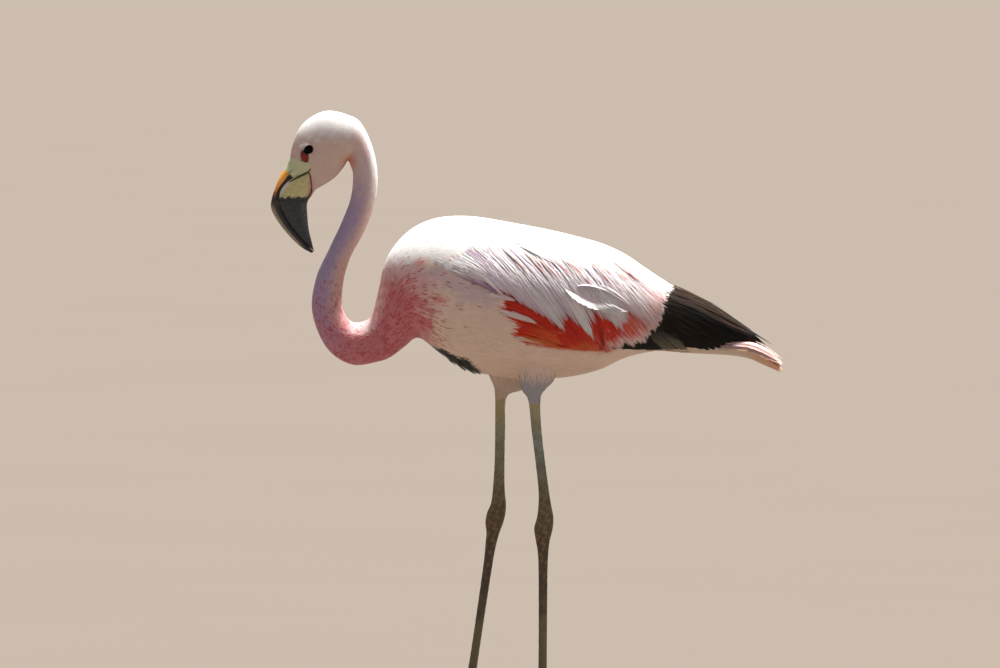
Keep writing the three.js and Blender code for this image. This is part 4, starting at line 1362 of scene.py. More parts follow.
@dataclass
class Leg:
    """One leg: its bare parts belong to the skin, and its thigh has soft feathers."""

    markings: Markings
    side: int
    rows: tuple[tuple[float, ...], ...]
    sides: int = 40
    scute: float = 3.4  # the height of the plates down the front

    @property
    def name(self) -> str:
        """The side's name."""
        return "left" if self.side < 0 else "right"

    def flesh(self) -> Facets:
        """The thigh inside its feathers, the scaly shank, ankle and tarsus, and the foot."""
        loft = Loft.through(self.rows)
        t, angle = grid(np.append(linspace(0, 4, 20), linspace(4, loft.last, 330)[1:]), self.sides)
        z = loft.surface(t, angle)[..., 2]
        depth = interp(t, (0, 2, 3.5, 4.2), (4, 4, 2.5, 0))
        front, bare = smooth(-0.1, 0.7, -sin(angle)), smooth(4, 4.6, t)
        phase = (z / self.scute + 0.12 * cos(angle)) % 1
        plate = phase ** 0.5 * front * 0.35
        rear = 0.14 * sin(z * 2.9) * sin(angle * 9) * (1 - front)
        points = loft.surface(t, angle, -depth + (plate + rear - 0.15) * bare)
        points[..., 2] = maximum(points[..., 2], 0)
        seams = (1 - 0.3 * bare * front * (phase < 0.2))[..., None]
        return Facets.merged(tube(points, self.markings.leg(points) * seams), self.knuckle(),
                             self.web("inner", "middle"), self.web("middle", "outer"),
                             *(self.toe(one) for one in TOES.values()))

    def stood(self, points: Array, spread: float = 0) -> Array:
        """Points drawn along +X with the foot's outer side at +Y, put where the foot stands."""
        x, y, turn = FEET[self.side]
        angle = math.radians(spread + turn)
        ahead = points[..., 0] * math.cos(angle) - points[..., 1] * math.sin(angle)
        out = points[..., 0] * math.sin(angle) + points[..., 1] * math.cos(angle)
        return stack(x - ahead, self.side * (y + out), points[..., 2])

    def toe(self, toe: Toe) -> Facets:
        """A toe: ovals flattened by the floor, ridged across by plates and swelling at its pads."""
        share, angle = grid(linspace(0, 1, 90), 24)
        rise, end = sin(angle), blunt(share, 0.9, 0.1, 0.05)
        plates = 0.28 * ((share * toe.length / 3) % 1) ** 0.5 * smooth(0, 0.6, rise)
        pads = 0.5 * sin(share * 3.5 * math.pi) ** 2 * smooth(0.3, -0.5, rise)
        half = (toe.root + (toe.tip - toe.root) * share) * end + pads - 0.3
        high = (8.2 - 2.8 * share) * (0.3 + 0.7 * end)
        y = half * cos(angle) * (1 - 0.1 * rise)
        z = maximum(high * (0.36 + 0.64 * rise) + (plates - 0.25), 0)
        points = self.stood(stack(share * toe.length, y, z), toe.spread)
        seams = (1 - 0.3 * (plates < 0.1) * (rise > 0.2))[..., None]
        return tube(points, self.markings.leg(points) * seams)

    def web(self, first: str, second: str) -> Facets:
        """The web between two toes: a skin from the joint to a hollow edge, wrinkled across."""
        a, b = TOES[first], TOES[second]
        notch = Toe((a.length + b.length) / 2, (a.spread + b.spread) / 2, 0, 0).end() * 0.62
        w, r = linspace(0, 1, 28), linspace(0.04, 1, 40)[:, None]
        sheet = bowed(a.end() * 0.8, notch, b.end() * 0.8, w[:, None]) * r[..., None]
        top = 1.9 + 0.35 * sin(r * 42) * sin(w * math.pi)
        top = top * (1 - 0.5 * smooth(0.93, 1, r))
        upper = concatenate([sheet, top[..., None]], axis=-1)
        lower = concatenate([sheet, full((*sheet.shape[:2], 1), 0.15)], axis=-1)
        points = self.stood(concatenate([upper, lower[:, ::-1]], axis=1))
        return tube(points, self.markings.leg(points) * 0.9)

    def knuckle(self) -> Facets:
        """The rounded joint over the toes."""
        share, angle = grid(linspace(0, 1, 30), 32)
        radius = 7.2 * blunt(share, 0.35, 0.68, 0.02) * (0.9 + 0.1 * smooth(0, 0.2, share))
        radius = radius + 0.25 * sin(share * 26)
        points = self.stood(stack(radius * cos(angle), radius * sin(angle), share * 25))
        return tube(points, self.markings.leg(points))

    def claws(self) -> None:
        """The short flat claws, each a tapering oval that bends down to the floor."""
        horn = Finish("claw_horn", roughness=0.45, mottle_size=400, mottle_strength=0.4,
                      relief=0.2).material()
        share, angle = grid(linspace(0, 1, 24), 20)
        half = 2.3 - 1.7 * share ** 1.3
        y = (half + 0.12 * cos(angle * 5)) * cos(angle)
        tint = mix(paint("3c342b"), "1f1b18", share)
        for label, toe in TOES.items():
            middle = toe.tip + (1.2 - toe.tip) * share
            z = maximum(middle + half * 0.95 * sin(angle), 0.3)
            points = stack(toe.length - 1.5 + 10.3 * share, y, z)
            tube(self.stood(points, toe.spread), tint).piece(
                f"claw_horn_{self.name}_{label}", horn, "claw", f"claw_{self.name}_{label}")

    def thigh(self, rng: Rng) -> Facets:
        """Soft feathers down the thigh, which thin out and end in wisps over the bare shank."""
        loft = Loft.through(self.rows)
        vane = Vane(stations=5, thickness=0.12, cup=0.04, point=0.9, shoulder=0.4, soft=0.8)
        t, angle = loft.strewn((0.4, 3.7), ((0,), (2.9,)), 1.9 / 2.9, rng)
        count, shares = len(t), vane.shares()
        size = interp(t, (0.4, 2, 3.7), (20, 17, 10)) * jitter(rng, count, 0.15)
        turn = rng.normal(0, 0.12, count)
        depth = interp(t, (0, 2, 3.5, 4.2), (4, 4, 2.5, 0.5))
        places, angles = loft.walk(t, angle, turn, size, shares, -depth)
        lift = interp(t, (0, 3, 3.7), (0.3, 0.3, 0))
        heights = -depth[:, None] + (depth + lift)[:, None] * shares ** 0.5
        shaded = smooth(446, 425, loft.surface(t, angle)[:, 2])
        base = mix(paint("belly"), "b4aeb4" if self.side < 0 else "dcc2b0", shaded)
        base = base * rng.normal(1, 0.03, (count, 1))
        return Bed(loft, places, angles, heights, full(count, 3.4), size, base, base,
                   rng.normal(0, 0.07, count)).made(vane, rng)

    def build(self, rng: Rng) -> None:
        """Makes the thigh's feathers and the claws."""
        down = Plumage.DOWN.value.material()
        self.thigh(rng).piece(f"coat_thigh_{self.name}", down, "plumage_pale")
        self.claws()


# ---------------- wings and tail


def raised(lift: Array, u: Array, angle: Array, shares: Array, sunk: float, flick: Array) -> Array:
    """Plumes' heights over the body: less on the back and belly, sunk roots and flicked tips."""
    lift = lift * (0.3 + 0.7 * abs(cos(angle))) + smooth(0.8, 1, u) * flick
    return lift - sunk * (1 - smooth(0, 0.35, shares))


@dataclass(frozen=True)
class Lock:
    """A bundle of plumes that lies over the body from a root spot and narrows to a tip."""

    spots: tuple[float, ...]  # its root and its tip on the grid
    tones: str  # its colours there, or one for both
    count: int = 34
    spread: float = 10
    gather: float = 3
    bulge: float = 0.07  # how far its path bows up and back, as a share of its length
    lift: float = 3
    width: float = 3.2
    stray: float = 0.1  # how unlike each other its plumes' colours are
    start: float = 0.4  # the farthest along it that a plume is rooted
    sunk: float = 2  # how far below its line a plume is rooted, in millimetres

    def bed(self, side: float, vane: Vane, rng: Rng) -> Bed:
        """The lock's plumes: strands between two curves that draw together.

        A strand's point is the bowed path at u, plus v * (spread (1 - u) + gather u) across it.

        Args:
            side: -1 for the left wing, 1 for the right.
            vane: the plumes' cut.
            rng: the source of their variety.

        Returns:
            The bed.
        """
        root, tip = view(self.spots[:2], self.spots[2:])
        base, end_tone = paints((self.tones.split() * 2)[:2])
        count, shares = self.count, vane.shares()
        chord = tip - root
        middle = (root + tip) / 2 + np.array([-chord[1], chord[0]]) * self.bulge
        v = clip(rng.normal(0, 0.5, count), -1.1, 1.1)[:, None]
        start = rng.uniform(0, self.start, count) ** 1.2
        end = 1 - 0.2 * abs(v[:, 0]) ** 1.6 - rng.uniform(0, 0.14, count)
        u = start[:, None] + (end - start)[:, None] * shares
        path = bowed(root, middle, tip, u[..., None])
        way = unit((middle - root) * (1 - u[..., None]) + (tip - middle) * u[..., None])
        normal = stack(-way[..., 1], way[..., 0])
        wave = 0.25 * sin(u * 7 + rng.uniform(0, 6.3, (count, 1)))
        off = (v + wave * u) * (self.spread * (1 - u) + self.gather * u)
        t, angle = BODY.locate(path + normal * off[..., None], side)
        lift = self.lift * (0.3 + 0.7 * smooth(0, 0.5, u)) * (1 - 0.6 * v ** 2)
        lift = raised(lift + rng.uniform(0, 0.9, (count, 1)), u, angle, shares, self.sunk,
                      rng.uniform(0, 0.8, (count, 1)))
        tone = clip(rng.normal(1, self.stray, (count, 1)), 0.6, 1.25)
        return Bed(BODY, t, angle, lift, self.width * rng.uniform(0.75, 1.25, count),
                   np.linalg.norm(chord) * (end - start), base * tone, end_tone * tone,
                   rng.normal(0, 0.12, count), (0.15, 0.85))


@dataclass(frozen=True)
class Fan:
    """A curtain of plumes between key plumes, drawn into many small points.

    A plume at u between two keys has its root and its tip on the lines through the keys' roots
    and tips, and its tip is drawn towards the nearest point's own u.
    """

    keys: tuple[tuple[float, ...], ...]  # the key plumes' roots and tips on the grid
    base: str  # the keys' colours at their roots, or one for all
    ends: str  # and at their tips
    count: int
    points: int
    bulge: float = 0.07
    lift: float = 2.6
    width: float = 2.3
    start: float = 0.5  # the farthest along it that a plume is rooted
    draw: float = 0.65  # how strongly the tips are drawn together
    ragged: float = 0.1  # how unlike in length its points are
    stray: float = 0.05
    scatter: float = 2.5  # how far a plume lies from its line, in millimetres
    blend: Spot = (0.1, 0.9)  # where along it the end's colour comes in
    sunk: float = 2  # how far below its line a plume is rooted, in millimetres
    facing: float = 0  # how far its plumes are rolled to face up, in radians
    shaded: float = 0  # the share of its plumes whose roots are purple, a painted shade between the strands

    def bed(self, side: float, vane: Vane, rng: Rng) -> Bed:
        """The fan's plumes, from the same values as a lock's."""
        keys = np.array(self.keys)
        last, count, shares = len(keys) - 1, self.count, vane.shares()
        along = rng.uniform(0, last, count)
        goals = np.sort(rng.uniform(0, last, self.points))
        goal = np.argmin(abs(along[:, None] + rng.normal(0, 0.08, (count, 1)) - goals), axis=1)
        drawn = along + (goals[goal] - along) * self.draw
        root, tip = line(view(*keys[:, :2]), along), line(view(*keys[:, 2:]), drawn)
        chord = tip - root
        across = stack(-chord[:, 1], chord[:, 0])
        middle = (root + tip) / 2 + across * (self.bulge * rng.uniform(0.5, 1.5, (count, 1)))
        reach = 1 - rng.uniform(0, self.ragged, self.points)[goal]
        start = rng.uniform(0, self.start, count)
        end = maximum(reach - rng.exponential(0.05, count), start + 0.25)
        u = start[:, None] + (end - start)[:, None] * shares
        path = bowed(root[:, None], middle[:, None], tip[:, None], u[..., None])
        off = clip(rng.normal(0, 1, (count, 1)), -1.5, 1.5) * self.scatter * (1 - 0.6 * u)
        t, angle = BODY.locate(path + unit(across)[:, None] * off[..., None], side)
        lift = self.lift * (0.35 + 0.65 * smooth(0, 0.5, u)) + rng.uniform(0, 1.4, (count, 1))
        lift = raised(lift, u, angle, shares, self.sunk, rng.uniform(0, 0.7, (count, 1)))
        tone = rng.normal(1, self.stray, (self.points, 1))[goal]
        tone = clip(tone + rng.normal(0, self.stray, (count, 1)), 0.6, 1.25)
        # some plumes get purple roots, a painted shade between the strands
        plum = (rng.random(count) < self.shaded) * rng.uniform(0.4, 1, count)
        base, ends = (line(paints((words.split() * (last + 1))[:last + 1]), along)
                      for words in (self.base, self.ends))
        base = mix(base, "plum", plum)
        return Bed(BODY, t, angle, lift, self.width * rng.uniform(0.7, 1.3, count),
                   np.linalg.norm(chord, axis=1) * (end - start), base * tone, ends * tone,
                   rng.normal(0, 0.1, count) - side * self.facing, self.blend)


SCAPULARS = (
    Fan(((440, 262, 484, 279), (448, 257, 496, 284), (456, 252, 507, 291), (463, 247, 518, 299),
         (470, 243, 530, 307), (477, 241, 541, 316), (484, 240, 553, 323), (492, 239, 566, 331),
         (505, 243, 571, 318), (518, 244, 582, 329), (530, 245, 594, 339), (543, 245, 598, 317),
         (555, 248, 610, 320), (566, 251, 624, 332), (579, 254, 632, 316), (592, 258, 643, 321),
         (604, 263, 656, 329), (615, 269, 661, 317), (626, 276, 664, 306)),
        "white", "lilac lilac lilac grey lilac grey lilac white grey lilac white lilac lilac "
        "white lilac blush blush blush pink", 2000, 110, 0.07, 3.5, 1.55,
        # its purple roots are a painted shade between the strands
        scatter=3.2, stray=0.06, facing=0.4, shaded=0.28),
    Fan(((500, 231, 556, 262), (514, 230, 578, 270), (527, 230, 592, 275), (545, 233, 610, 283),
         (565, 237, 630, 288), (585, 243, 645, 292), (603, 249, 657, 296), (616, 255, 664, 297),
         (628, 262, 672, 293), (638, 266, 679, 291), (638, 264, 673, 285), (630, 258, 667, 279)),
        "white", "white white white white blush blush blush white white white white white",
        1250, 60, 0.04, 1, 1.9, scatter=4.4),
    Fan(((634, 282, 667, 299), (634, 288, 668, 309), (632, 294, 665, 321), (626, 298, 658, 332)),
        "blush rose coral coral", "rose blush blush blush",
        170, 26, 0.05, 3.4, 1.3, ragged=0.3, scatter=3, blend=(0.4, 1)),
)
SCAPULAR_LOCKS = (
    # the first two locks end in a purple painted shade under the scapulars' leading edge
    Lock((440, 261, 488, 287), "white plum", 40, 5, 3, 0.06, 3, 1.3, 0.08),
    Lock((452, 264, 500, 294), "lilac plum", 40, 5, 3, 0.06, 3.4, 1.3, 0.08),
    Lock((462, 262, 506, 296), "white lilac", 30, 4, 2, 0.06, 4.6, 1.2, 0.08),
    Lock((434, 257, 456, 270), "white", 22, 4, 4, 0.1, 3.6, 1.6, 0.04),
    Lock((444, 258, 470, 274), "white", 26, 5, 4, 0.12, 3.8, 1.6, 0.04),
    Lock((452, 260, 482, 278), "white", 26, 5, 4, 0.1, 4.2, 1.6, 0.04),
    Lock((455, 262, 492, 281), "white", 34, 6, 2, 0.05, 4.8, 1.6, 0.04),
    Lock((636, 272, 670, 294), "white", 60, 9, 6, 0.05, 2.6, 2, 0.04, 0.5),
    Lock((640, 278, 666, 301), "white blush", 60, 8, 6, 0.05, 2.8, 1.8, 0.04, 0.5),
    Lock((497, 262, 566, 331), "white", 50, 8, 4, 0.12, 3.6, 1.5, 0.06, 0.5),
    Lock((540, 262, 594, 339), "white", 50, 8, 4, 0.12, 3.6, 1.5, 0.06, 0.5),
    Lock((582, 270, 624, 332), "white lilac", 40, 8, 4, 0.12, 3.6, 1.5, 0.06, 0.5),
    *(Lock(spots, "blush coral", 3, 1, 1, 0.05, 4.6, 1.1) for spots in (
        (575, 246, 622, 284), (582, 256, 614, 288), (600, 254, 656, 296),
        (604, 262, 640, 292), (545, 252, 578, 282), (556, 254, 584, 276),
        (520, 248, 552, 282), (532, 252, 560, 280), (505, 250, 530, 276),
        (566, 262, 596, 290), (612, 262, 650, 289))),
)
COVERTS = (
    Fan(((545, 330, 575, 347), (552, 318, 590, 350), (560, 308, 606, 351), (575, 302, 622, 348),
         (590, 298, 636, 345), (604, 294, 648, 340), (616, 290, 657, 332), (628, 288, 663, 320),
         (638, 287, 665, 308)),
        "crimson crimson crimson crimson crimson coral coral rose rose",
        "orange orange coral blush blush blush blush blush blush",
        1300, 70, 0.06, 1.8, 2.2, 0.6, 0.5, 0.12, 0.07, 2.5, (0.6, 1)),
)
COVERT_LOCKS = (
    Lock((482, 272, 521, 296), "wine crimson", 46, 6, 4, 0.02, 1.8, 1.6, 0.1),
    Lock((490, 279, 510, 292), "lilac crimson", 30, 4, 3, 0.02, 2.2, 1.4, 0.1, 0.6),
    Lock((497, 298, 560, 326), "crimson", 150, 6, 6, 0.09, 1.8, 1.7, 0.12, 0.5),
    Lock((506, 304, 574, 338), "crimson", 120, 6, 7, 0.08, 1.5, 1.8, 0.12, 0.5),
    Lock((484, 290, 517, 299), "lilac blush", 46, 4, 2, 0.05, 2.4, 1.3, 0.06, 0.6),
    Lock((494, 308, 538, 321), "blush", 60, 4, 2, 0.06, 2.4, 1.3, 0.06, 0.6),
    Lock((512, 322, 578, 345), "crimson orange", 130, 6, 6, 0.06, 1.6, 1.8, 0.12, 0.5),
    Lock((514, 332, 565, 346), "orange", 40, 3, 3, 0.02, 2, 1.4, 0.08, 0.6),
    Lock((512, 334, 556, 344), "beige orange", 24, 2, 2, 0.02, 2.4, 1.3, 0.08, 0.6),
    Lock((530, 318, 600, 349), "crimson orange", 90, 8, 5, 0.05, 1.8, 2, 0.12, 0.5),
    Lock((543, 306, 590, 346), "crimson deep", 80, 9, 6, 0.05, 1.4, 2, 0.12),
    Lock((563, 318, 581, 338), "crimson", 20, 3, 2, 0.05, 3.6, 1.5, 0.12),
    Lock((592, 300, 604, 346), "crimson deep", 36, 5, 4, 0.05, 3.2, 1.7, 0.12),
    Lock((620, 300, 634, 338), "crimson coral", 30, 5, 5, 0.05, 2.6, 1.7, 0.12),
)
CURLED = (  # root, bend, tip, width, lift and roll of the long plumes that curl outwards
    ((566, 285), (593, 277), (613, 294), 9, 3.8, 0.55),
    ((564, 283), (580, 303), (627, 309), 19, 5, 0.62),
)
TERTIAL_FANS = (
    # the first fan's purple plumes are a painted shade in the hollow under the curled plumes
    Fan(((568, 286, 604, 292), (569, 287, 606, 297), (570, 290, 602, 303)),
        "lilac plum plum", "plum plum lilac",
        150, 20, 0.05, 3.2, 1.6, 0.4, 0.3, 0.15, 0.06, 2),
    Fan(((588, 283, 618, 296), (594, 285, 626, 300), (596, 288, 632, 306)),
        "white", "white white lilac",
        70, 12, 0.12, 6, 1.1, 0.6, 0.4, 0.25, 0.04, 1.6, facing=0.75),
    Fan(((586, 300, 614, 312), (592, 299, 622, 313), (598, 298, 629, 311)),
        "white", "white",
        120, 14, -0.06, 8.6, 1.1, 0.6, 0.3, 0.3, 0.04, 2, facing=0.85),
)
BELLY_TUFTS = tuple(
    Lock(spots, "stain", 14, 2.5, 2.5, -0.04, lift, 1.2, 0.25, 0.6, 0.5)
    for *spots, lift in (
        (431, 344, 444, 353, 3), (438, 348, 450, 357, 5), (444, 351, 456, 362, 9),
        (449, 353, 461, 365, 6), (454, 355, 467, 369, 11), (459, 357, 471, 370, 6),
        (463, 360, 477, 373, 9), (468, 363, 482, 373, 5), (458, 355, 474, 367, 3)))
QUILL_STRANDS = (
    Fan(((650, 276, 676, 284), (652, 280, 706, 300), (652, 284, 738, 324), (650, 288, 756, 337),
         (650, 294, 742, 338), (648, 304, 722, 345), (644, 314, 690, 346)),
        "white brown brown black black black black", "brown brown brown brown black brown black",
        170, 50, 0.05, 3.2, 1, 0.8, 0.3, 0.4, 0.2, 3),
)
OLIVE_LOCKS = (
    Lock((650, 322, 688, 351), "black olive", 60, 9, 7, 0.05, 3.2, 0.9, 0.3, 0.7),
    Lock((642, 326, 674, 351), "black olive", 60, 8, 7, 0.05, 2.8, 0.9, 0.3, 0.7),
)


@dataclass(frozen=True)
class QuillRow:
    """Quills side by side: stiff broad vanes from under the plumes to their own tips."""

    roots: tuple[Spot, ...]
    tips: tuple[Spot, ...]
    count: int
    width: Spot
    lift: tuple[float, ...]
    tones: tuple[str, ...]

    def spread(self) -> Array:
        """Each quill's root, tip, width and lift, with the tips spread evenly along their line."""
        share = linspace(0, 1, self.count)
        gone = np.append(0, np.cumsum(np.linalg.norm(np.diff(self.tips, axis=0), axis=1)))
        return np.c_[line(self.roots, share, linspace(0, 1, len(self.roots))),
                     line(self.tips, share * gone[-1], gone), interp(share, (0, 1), self.width),
                     interp(share, linspace(0, 1, len(self.lift)), self.lift)]


QUILL_ROWS = (
    QuillRow(((640, 283), (634, 270), (628, 262)),
             ((771.5, 344), (750, 330), (735, 320.5), (720, 310), (686, 291.5)),
             13, (8, 11), (0.2, 2.4), ("black", "black", "brown")),
    QuillRow(((640, 286), (640, 300), (624, 316), (600, 332), (572, 344)),
             ((766, 345), (738, 344), (728, 349), (716, 352), (690, 350.5), (640, 350.5)),
             22, (10, 8), (0.5, 1.6, 2.4, 2, 0.6), ("black",)),
    QuillRow(((644, 282), (644, 292)), ((744, 327), (752, 338)), 4, (8, 10), (2.4, 2),
             ("brown", "black")),
)


@dataclass
class Wings:
    """The folded wings: flight quills, red coverts, and the long loose scapulars over them."""

    markings: Markings
    rng: Rng
    bed_depth: float = 2.8
    sunk: float = 8  # how deep the quills lie where plumes cover them

    def locks(self, locks: tuple[Lock | Fan, ...], side: float) -> Facets:
        """All the plumes of some locks and fans on one side, as one mesh."""
        vane = Vane(rise=0.25, shoulder=0.35, point=0.9, stations=7, thickness=0.18, cup=0.05, soft=0.45)
        beds = [lock.bed(side, vane, self.rng) for lock in locks]
        return Facets.merged(*(bed.made(vane, self.rng) for bed in beds))

    def curled(self, side: float) -> Facets:
        """The broad plumes that curl outwards, hollow between their raised edges."""
        vane = Vane(rise=0.45, shoulder=0.4, point=0.75, stations=44, across=11, cup=-0.12,
                    thickness=0.3, frayed=0.12, soft=0.1)
        roots, bends, tips, width, lift, roll = zip(*CURLED)
        u = vane.shares()[:, None]
        path = bowed(*(view(*spots)[:, None] for spots in (roots, bends, tips)), u)
        t, angle = BODY.locate(path, side)
        lift = np.array(lift)[:, None] * smooth(-0.1, 0.35, u[:, 0])
        tint = paints(("dccbe2", "white"))
        return Bed(BODY, t, angle, lift, np.array(width), full(len(width), 80), tint, tint,
                   -side * np.array(roll)).made(vane, self.rng)

    def quills(self, side: float) -> Facets:
        """The flight feathers of one wing."""
        vane = Vane(rise=0.12, shoulder=0.62, point=1.1, stations=26, across=7, cup=0.1,
                    thickness=0.5, frayed=0.04)
        table = concatenate([row.spread() for row in QUILL_ROWS])
        roots, tips, count = view(*table[:, :2]), view(*table[:, 2:4]), len(table)
        tone = paints([row.tones[k % len(row.tones)] for row in QUILL_ROWS for k in range(row.count)])
        chord, s = tips - roots, vane.shares()
        bow = np.stack([-chord[:, 1], chord[:, 0]], axis=1) * 0.035
        share = s[:, None]
        spots = roots[:, None] + chord[:, None] * share + bow[:, None] * 4 * share * (1 - share)
        t, angle = BODY.locate(spots, side)
        lift = table[:, 5, None] - 1.5 + 1.2 * s
        lift = lift * (0.3 + 0.7 * abs(cos(angle))) - self.sunk * self.covered(spots)
        base = mix(tone, "brown", full(count, 0.35))
        return Bed(BODY, t, angle, lift, table[:, 4] * 1.4, np.linalg.norm(chord, axis=1), base,
                   tone, self.rng.normal(0, 0.03, count)).made(vane, self.rng)

    def covered(self, spots: Array) -> Array:
        """How far spots of the side view lie under the plumes: 1 well under them, 0 in the open."""
        return 1 - inside(spots, self.markings.under_wing, 9)

    def ridge(self) -> Facets:
        """The innermost quills, which lie along the midline and close the gap between the wings."""
        vane = Vane(rise=0.1, shoulder=0.55, point=1, stations=26, across=7, cup=0.1,
                    thickness=0.5, frayed=0.05)
        s = vane.shares()
        turn = np.array([0, -0.55, 0.55, -0.2, 0.25, -0.6, 0.6, 0, -0.3, 0.35])[:, None]
        end = np.array([35.7, 35.2, 35.1, 34.7, 34.5, 33.9, 33.8, 33.5, 33, 32.8])[:, None]
        count = len(turn)
        places, angles = 29.6 + (end - 29.6) * s, math.pi / 2 + turn * (1 - 0.5 * s)
        lift = linspace(-0.6, 1, count)[:, None] + 0.6 * s
        lift = lift - self.sunk * self.covered(BODY.surface(places, angles))
        tone = paints(["black", "brown"] * (count // 2))
        return Bed(BODY, places, angles, lift, linspace(13, 10, count), full(count, 150),
                   tone, tone, self.rng.normal(0, 0.04, count)).made(vane, self.rng)

    def quill_bed(self) -> Facets:
        """The dark heart of the folded quills, wholly under the vanes."""
        t, angle = grid(linspace(29.4, 34.5, 60), 64)
        return tube(BODY.surface(t, angle, -self.bed_depth), "black")

    def build(self) -> None:
        """Makes both wings."""
        plume, quill = Plumage.PLUME.value.material(), Plumage.QUILL.value.material()
        black = "plumage_black"
        self.quill_bed().piece("quill_bed", quill, black, "flight_feathers_left", "flight_feathers_right")
        self.ridge().piece("quills_middle", quill, black)
        for name, side in SIDES:
            self.quills(side).piece(f"quills_{name}", quill, black)
            for label, locks, finish, slot in (
                    ("coverts", COVERTS + COVERT_LOCKS, plume, "plumage_wing"),
                    ("scapulars", SCAPULARS + SCAPULAR_LOCKS, plume, "plumage_pale"),
                    ("tertials", TERTIAL_FANS, plume, "plumage_pale"),
                    ("belly_tufts", BELLY_TUFTS, plume, black),
                    ("quill_strands", QUILL_STRANDS, quill, black),
                    ("olive_locks", OLIVE_LOCKS, plume, black)):
                made = self.locks(locks, side)
                if label == "tertials":
                    made = Facets.merged(made, self.curled(side))
                made.piece(f"{label}_{name}", finish, slot)


@dataclass
class Tail:
    """The short tail: a closed fan of pale quills with soft coverts over and under their roots."""

    rng: Rng
    quills: int = 17
    # the upper quills' tones in turn: partly the tail's own pinks, partly painted shade between them
    tones: tuple[str, ...] = ("white", "mauve", "blush", "taupe", "pink")

    def fan(self) -> Facets:
        """The quills: over the tail's top and under it, from its root to its rounded tips."""
        vane = Vane(rise=0.1, shoulder=0.7, point=0.8, stations=22, across=5, cup=0.1,
                    thickness=0.4, frayed=0.16, soft=0.5)
        angle = np.append(linspace(0.06, 0.94, self.quills),
                          linspace(1.08, 1.92, self.quills - 2)) * math.pi
        count, s, under = len(angle), vane.shares(), sin(angle) < 0
        last = 6.9 - 0.6 * cos(angle) ** 2 - self.rng.uniform(0, 1, count) * (1.3 - 0.8 * under)
        places = 1 + (last - 1)[:, None] * s
        angles = angle[:, None] + 0 * places
        stacked = where(np.arange(count) % 2 == 0, 1.3, -1)
        heights = (stacked + self.rng.uniform(-0.6, 0.6, count))[:, None] + 0.6 * s
        width = full(count, 10.0)
        places[0], angles[0], width[0] = 1 + 6 * s, -0.3, 1.6  # one slim quill at the fan's edge
        cycle = abs(np.arange(count) - self.quills // 2) % len(self.tones)
        over, under = paints(self.tones)[cycle], under[:, None]
        base = where(under, paint("beige"), over)
        tip = where(under, paint("e8ad88"), mix(over, "rose", full(count, 0.35)))
        tone = self.rng.normal(1, 0.04, (count, 1))
        return Bed(TAIL, places, angles, heights, width, full(count, 130), base * tone,
                   tip * tone, self.rng.normal(0, 0.06, count)).made(vane, self.rng)

    def coverts(self) -> Facets:
        """Soft feathers over the tail's root and under it."""
        vane = Vane(rise=0.25, shoulder=0.45, point=0.8, stations=6, thickness=0.2, cup=0.05, soft=0.6)
        t, angle = TAIL.strewn((0.1, 3.6), ((0,), (6,)), 3.2 / 6, self.rng)
        count, shares = len(t), vane.shares()
        size = interp(t, (0, 3.6), (42, 34)) * jitter(self.rng, count, 0.15, 1.4)
        places, angles = TAIL.walk(t, angle, self.rng.normal(0, 0.08, count), size, shares)
        heights = -2.5 + 3.1 * shares ** 0.5 + self.rng.uniform(-0.4, 0.4, (count, 1))
        # painted shade: the coverts under the tail are darker beige, where the quills shade them
        base = mix(paint("white"), "dcb898", smooth(0.1, -0.4, sin(angle)))
        base = base * self.rng.normal(1, 0.03, (count, 1))
        return Bed(TAIL, places, angles, heights, full(count, 5.5), size, base, base,
                   self.rng.normal(0, 0.08, count)).made(vane, self.rng)

    def flesh(self) -> Facets:
        """The tail's own flesh inside the quills, with the named values that they have."""
        t, angle = grid(linspace(0, 6.15, 64), 48)
        made = tube(TAIL.surface(t, angle, -3), "beige")
        made.values |= {name: np.ones(len(made.points)) for name in ("barb", "across", "along")}
        made.bake_map = full((len(made.corners), 2), 0.005)
        return made

    def build(self) -> None:
        """Makes the tail."""
        plume = Plumage.PLUME.value.material()
        Facets.merged(self.fan(), self.flesh()).piece("tail_fan", plume, "plumage_pale", "tail")
        self.coverts().piece("tail_coverts", plume, "plumage_pale")


# ---------------- studio


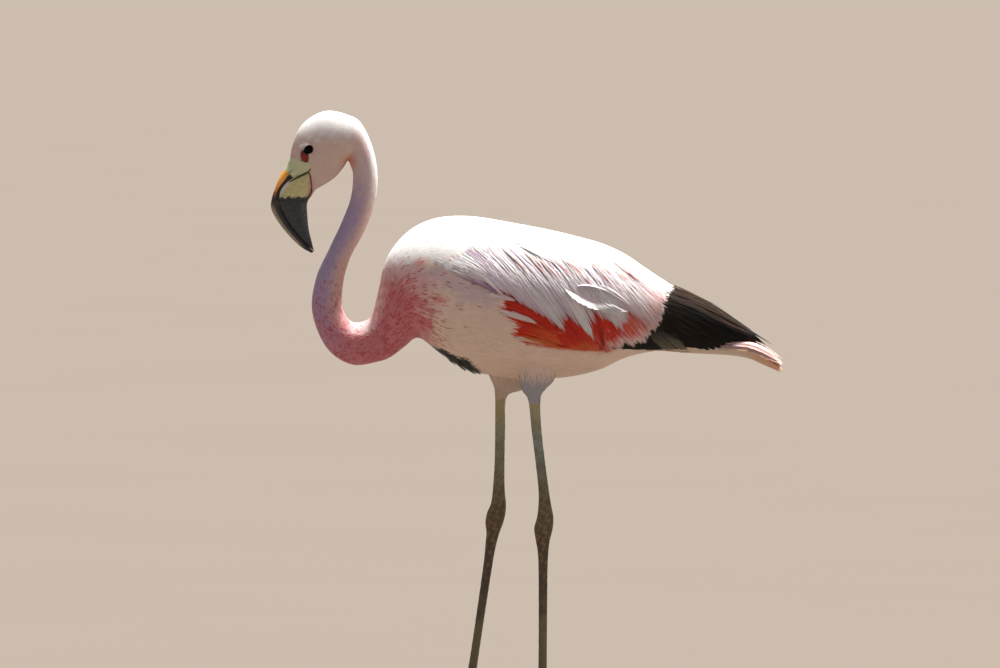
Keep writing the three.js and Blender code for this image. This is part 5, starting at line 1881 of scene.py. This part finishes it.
@dataclass
class Studio:
    """The floor, the lights and the camera."""

    aim: Spot = (-34.4, 477.5)  # the middle of the view, x and z in millimetres
    view_width: float = 1250
    distance: float = 12
    elevation: float = 2.2
    sensor: float = 36
    sun: tuple[float, float, float] = (0.26, 0.12, 0.95)

    @staticmethod
    def placed(name: str, data: object) -> bpy.types.Object:
        """A new object of the scene."""
        item = bpy.data.objects.new(name, data)
        bpy.context.scene.collection.objects.link(item)
        return item

    def camera(self) -> None:
        """A long lens from the bird's left, a little above level."""
        lens = bpy.data.cameras.new("camera")
        lens.sensor_width = self.sensor
        lens.lens = self.sensor * self.distance / (self.view_width * METRES)
        lens.clip_end = 2000
        camera = self.placed("camera", lens)
        rise = math.radians(self.elevation)
        camera.location = ((self.aim[0] + Frame.shift[0]) * METRES, -self.distance * math.cos(rise),
                           self.aim[1] * METRES + self.distance * math.sin(rise))
        camera.rotation_euler = (math.pi / 2 - rise, 0, 0)
        bpy.context.scene.camera = camera

    def lights(self) -> None:
        """A broad key from high above and beyond the tail, and a pale surround."""
        key = bpy.data.lights.new("key", "SUN")
        key.energy = 12.5
        key.angle = math.radians(12)
        key.color = (1, 0.97, 0.93)
        x, y, z = unit(np.array(self.sun))
        self.placed("key", key).rotation_euler = (math.acos(z), 0, math.atan2(x, -y))
        world = bpy.data.worlds.new("surround")
        world.use_nodes = True
        background = world.node_tree.nodes["Background"].inputs
        background["Color"].default_value = (0.92, 0.9, 1, 1)
        background["Strength"].default_value = 0.38
        bpy.context.scene.world = world

    def floor(self) -> None:
        """A wide pale floor."""
        turn, reach = ring(96), 600
        points = np.stack([cos(turn) * reach, sin(turn) * reach, 0 * turn], axis=1)
        mesh = bpy.data.meshes.new("floor")
        mesh.from_pydata(points.tolist(), [], [list(range(len(turn)))])
        floor = self.placed("floor", mesh)
        made = bpy.data.materials.new("floor_paint")
        made.use_nodes = True
        nodes, shader = Nodes(made.node_tree), made.node_tree.nodes["Principled BSDF"].inputs
        shader["Roughness"].default_value = 0.95
        shader["Specular IOR Level"].default_value = 0.1
        cloud = nodes.add("ShaderNodeGroup", node_tree=mottle(), Scale=0.8, Strength=0.06)
        base = nodes.add("ShaderNodeRGB").outputs[0]
        base.default_value = (0.142, 0.121, 0.102, 1)
        nodes.give(shader["Base Color"], nodes.darkened(base, cloud.outputs["Shade"]))
        mesh.materials.append(made)

    def build(self) -> None:
        """Sets the stage."""
        self.camera()
        self.lights()
        self.floor()
        settings = bpy.context.scene.view_settings
        settings.view_transform = "Standard"
        settings.exposure = 0


# ---------------- the bird


def main() -> None:
    """Builds the bird and its stage."""
    logging.basicConfig(level=logging.INFO, format="%(name)s %(message)s")
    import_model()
    Frame.find()
    rng = np.random.default_rng(20)
    Studio().build()
    markings = Markings()
    Coat(markings, rng).build()
    Bill().build()
    Eyes().build()
    for side, rows in LEGS:
        Leg(markings, side, rows).build(rng)
    Wings(markings, rng).build()
    Tail(rng).build()


if __name__ == "__main__":
    main()
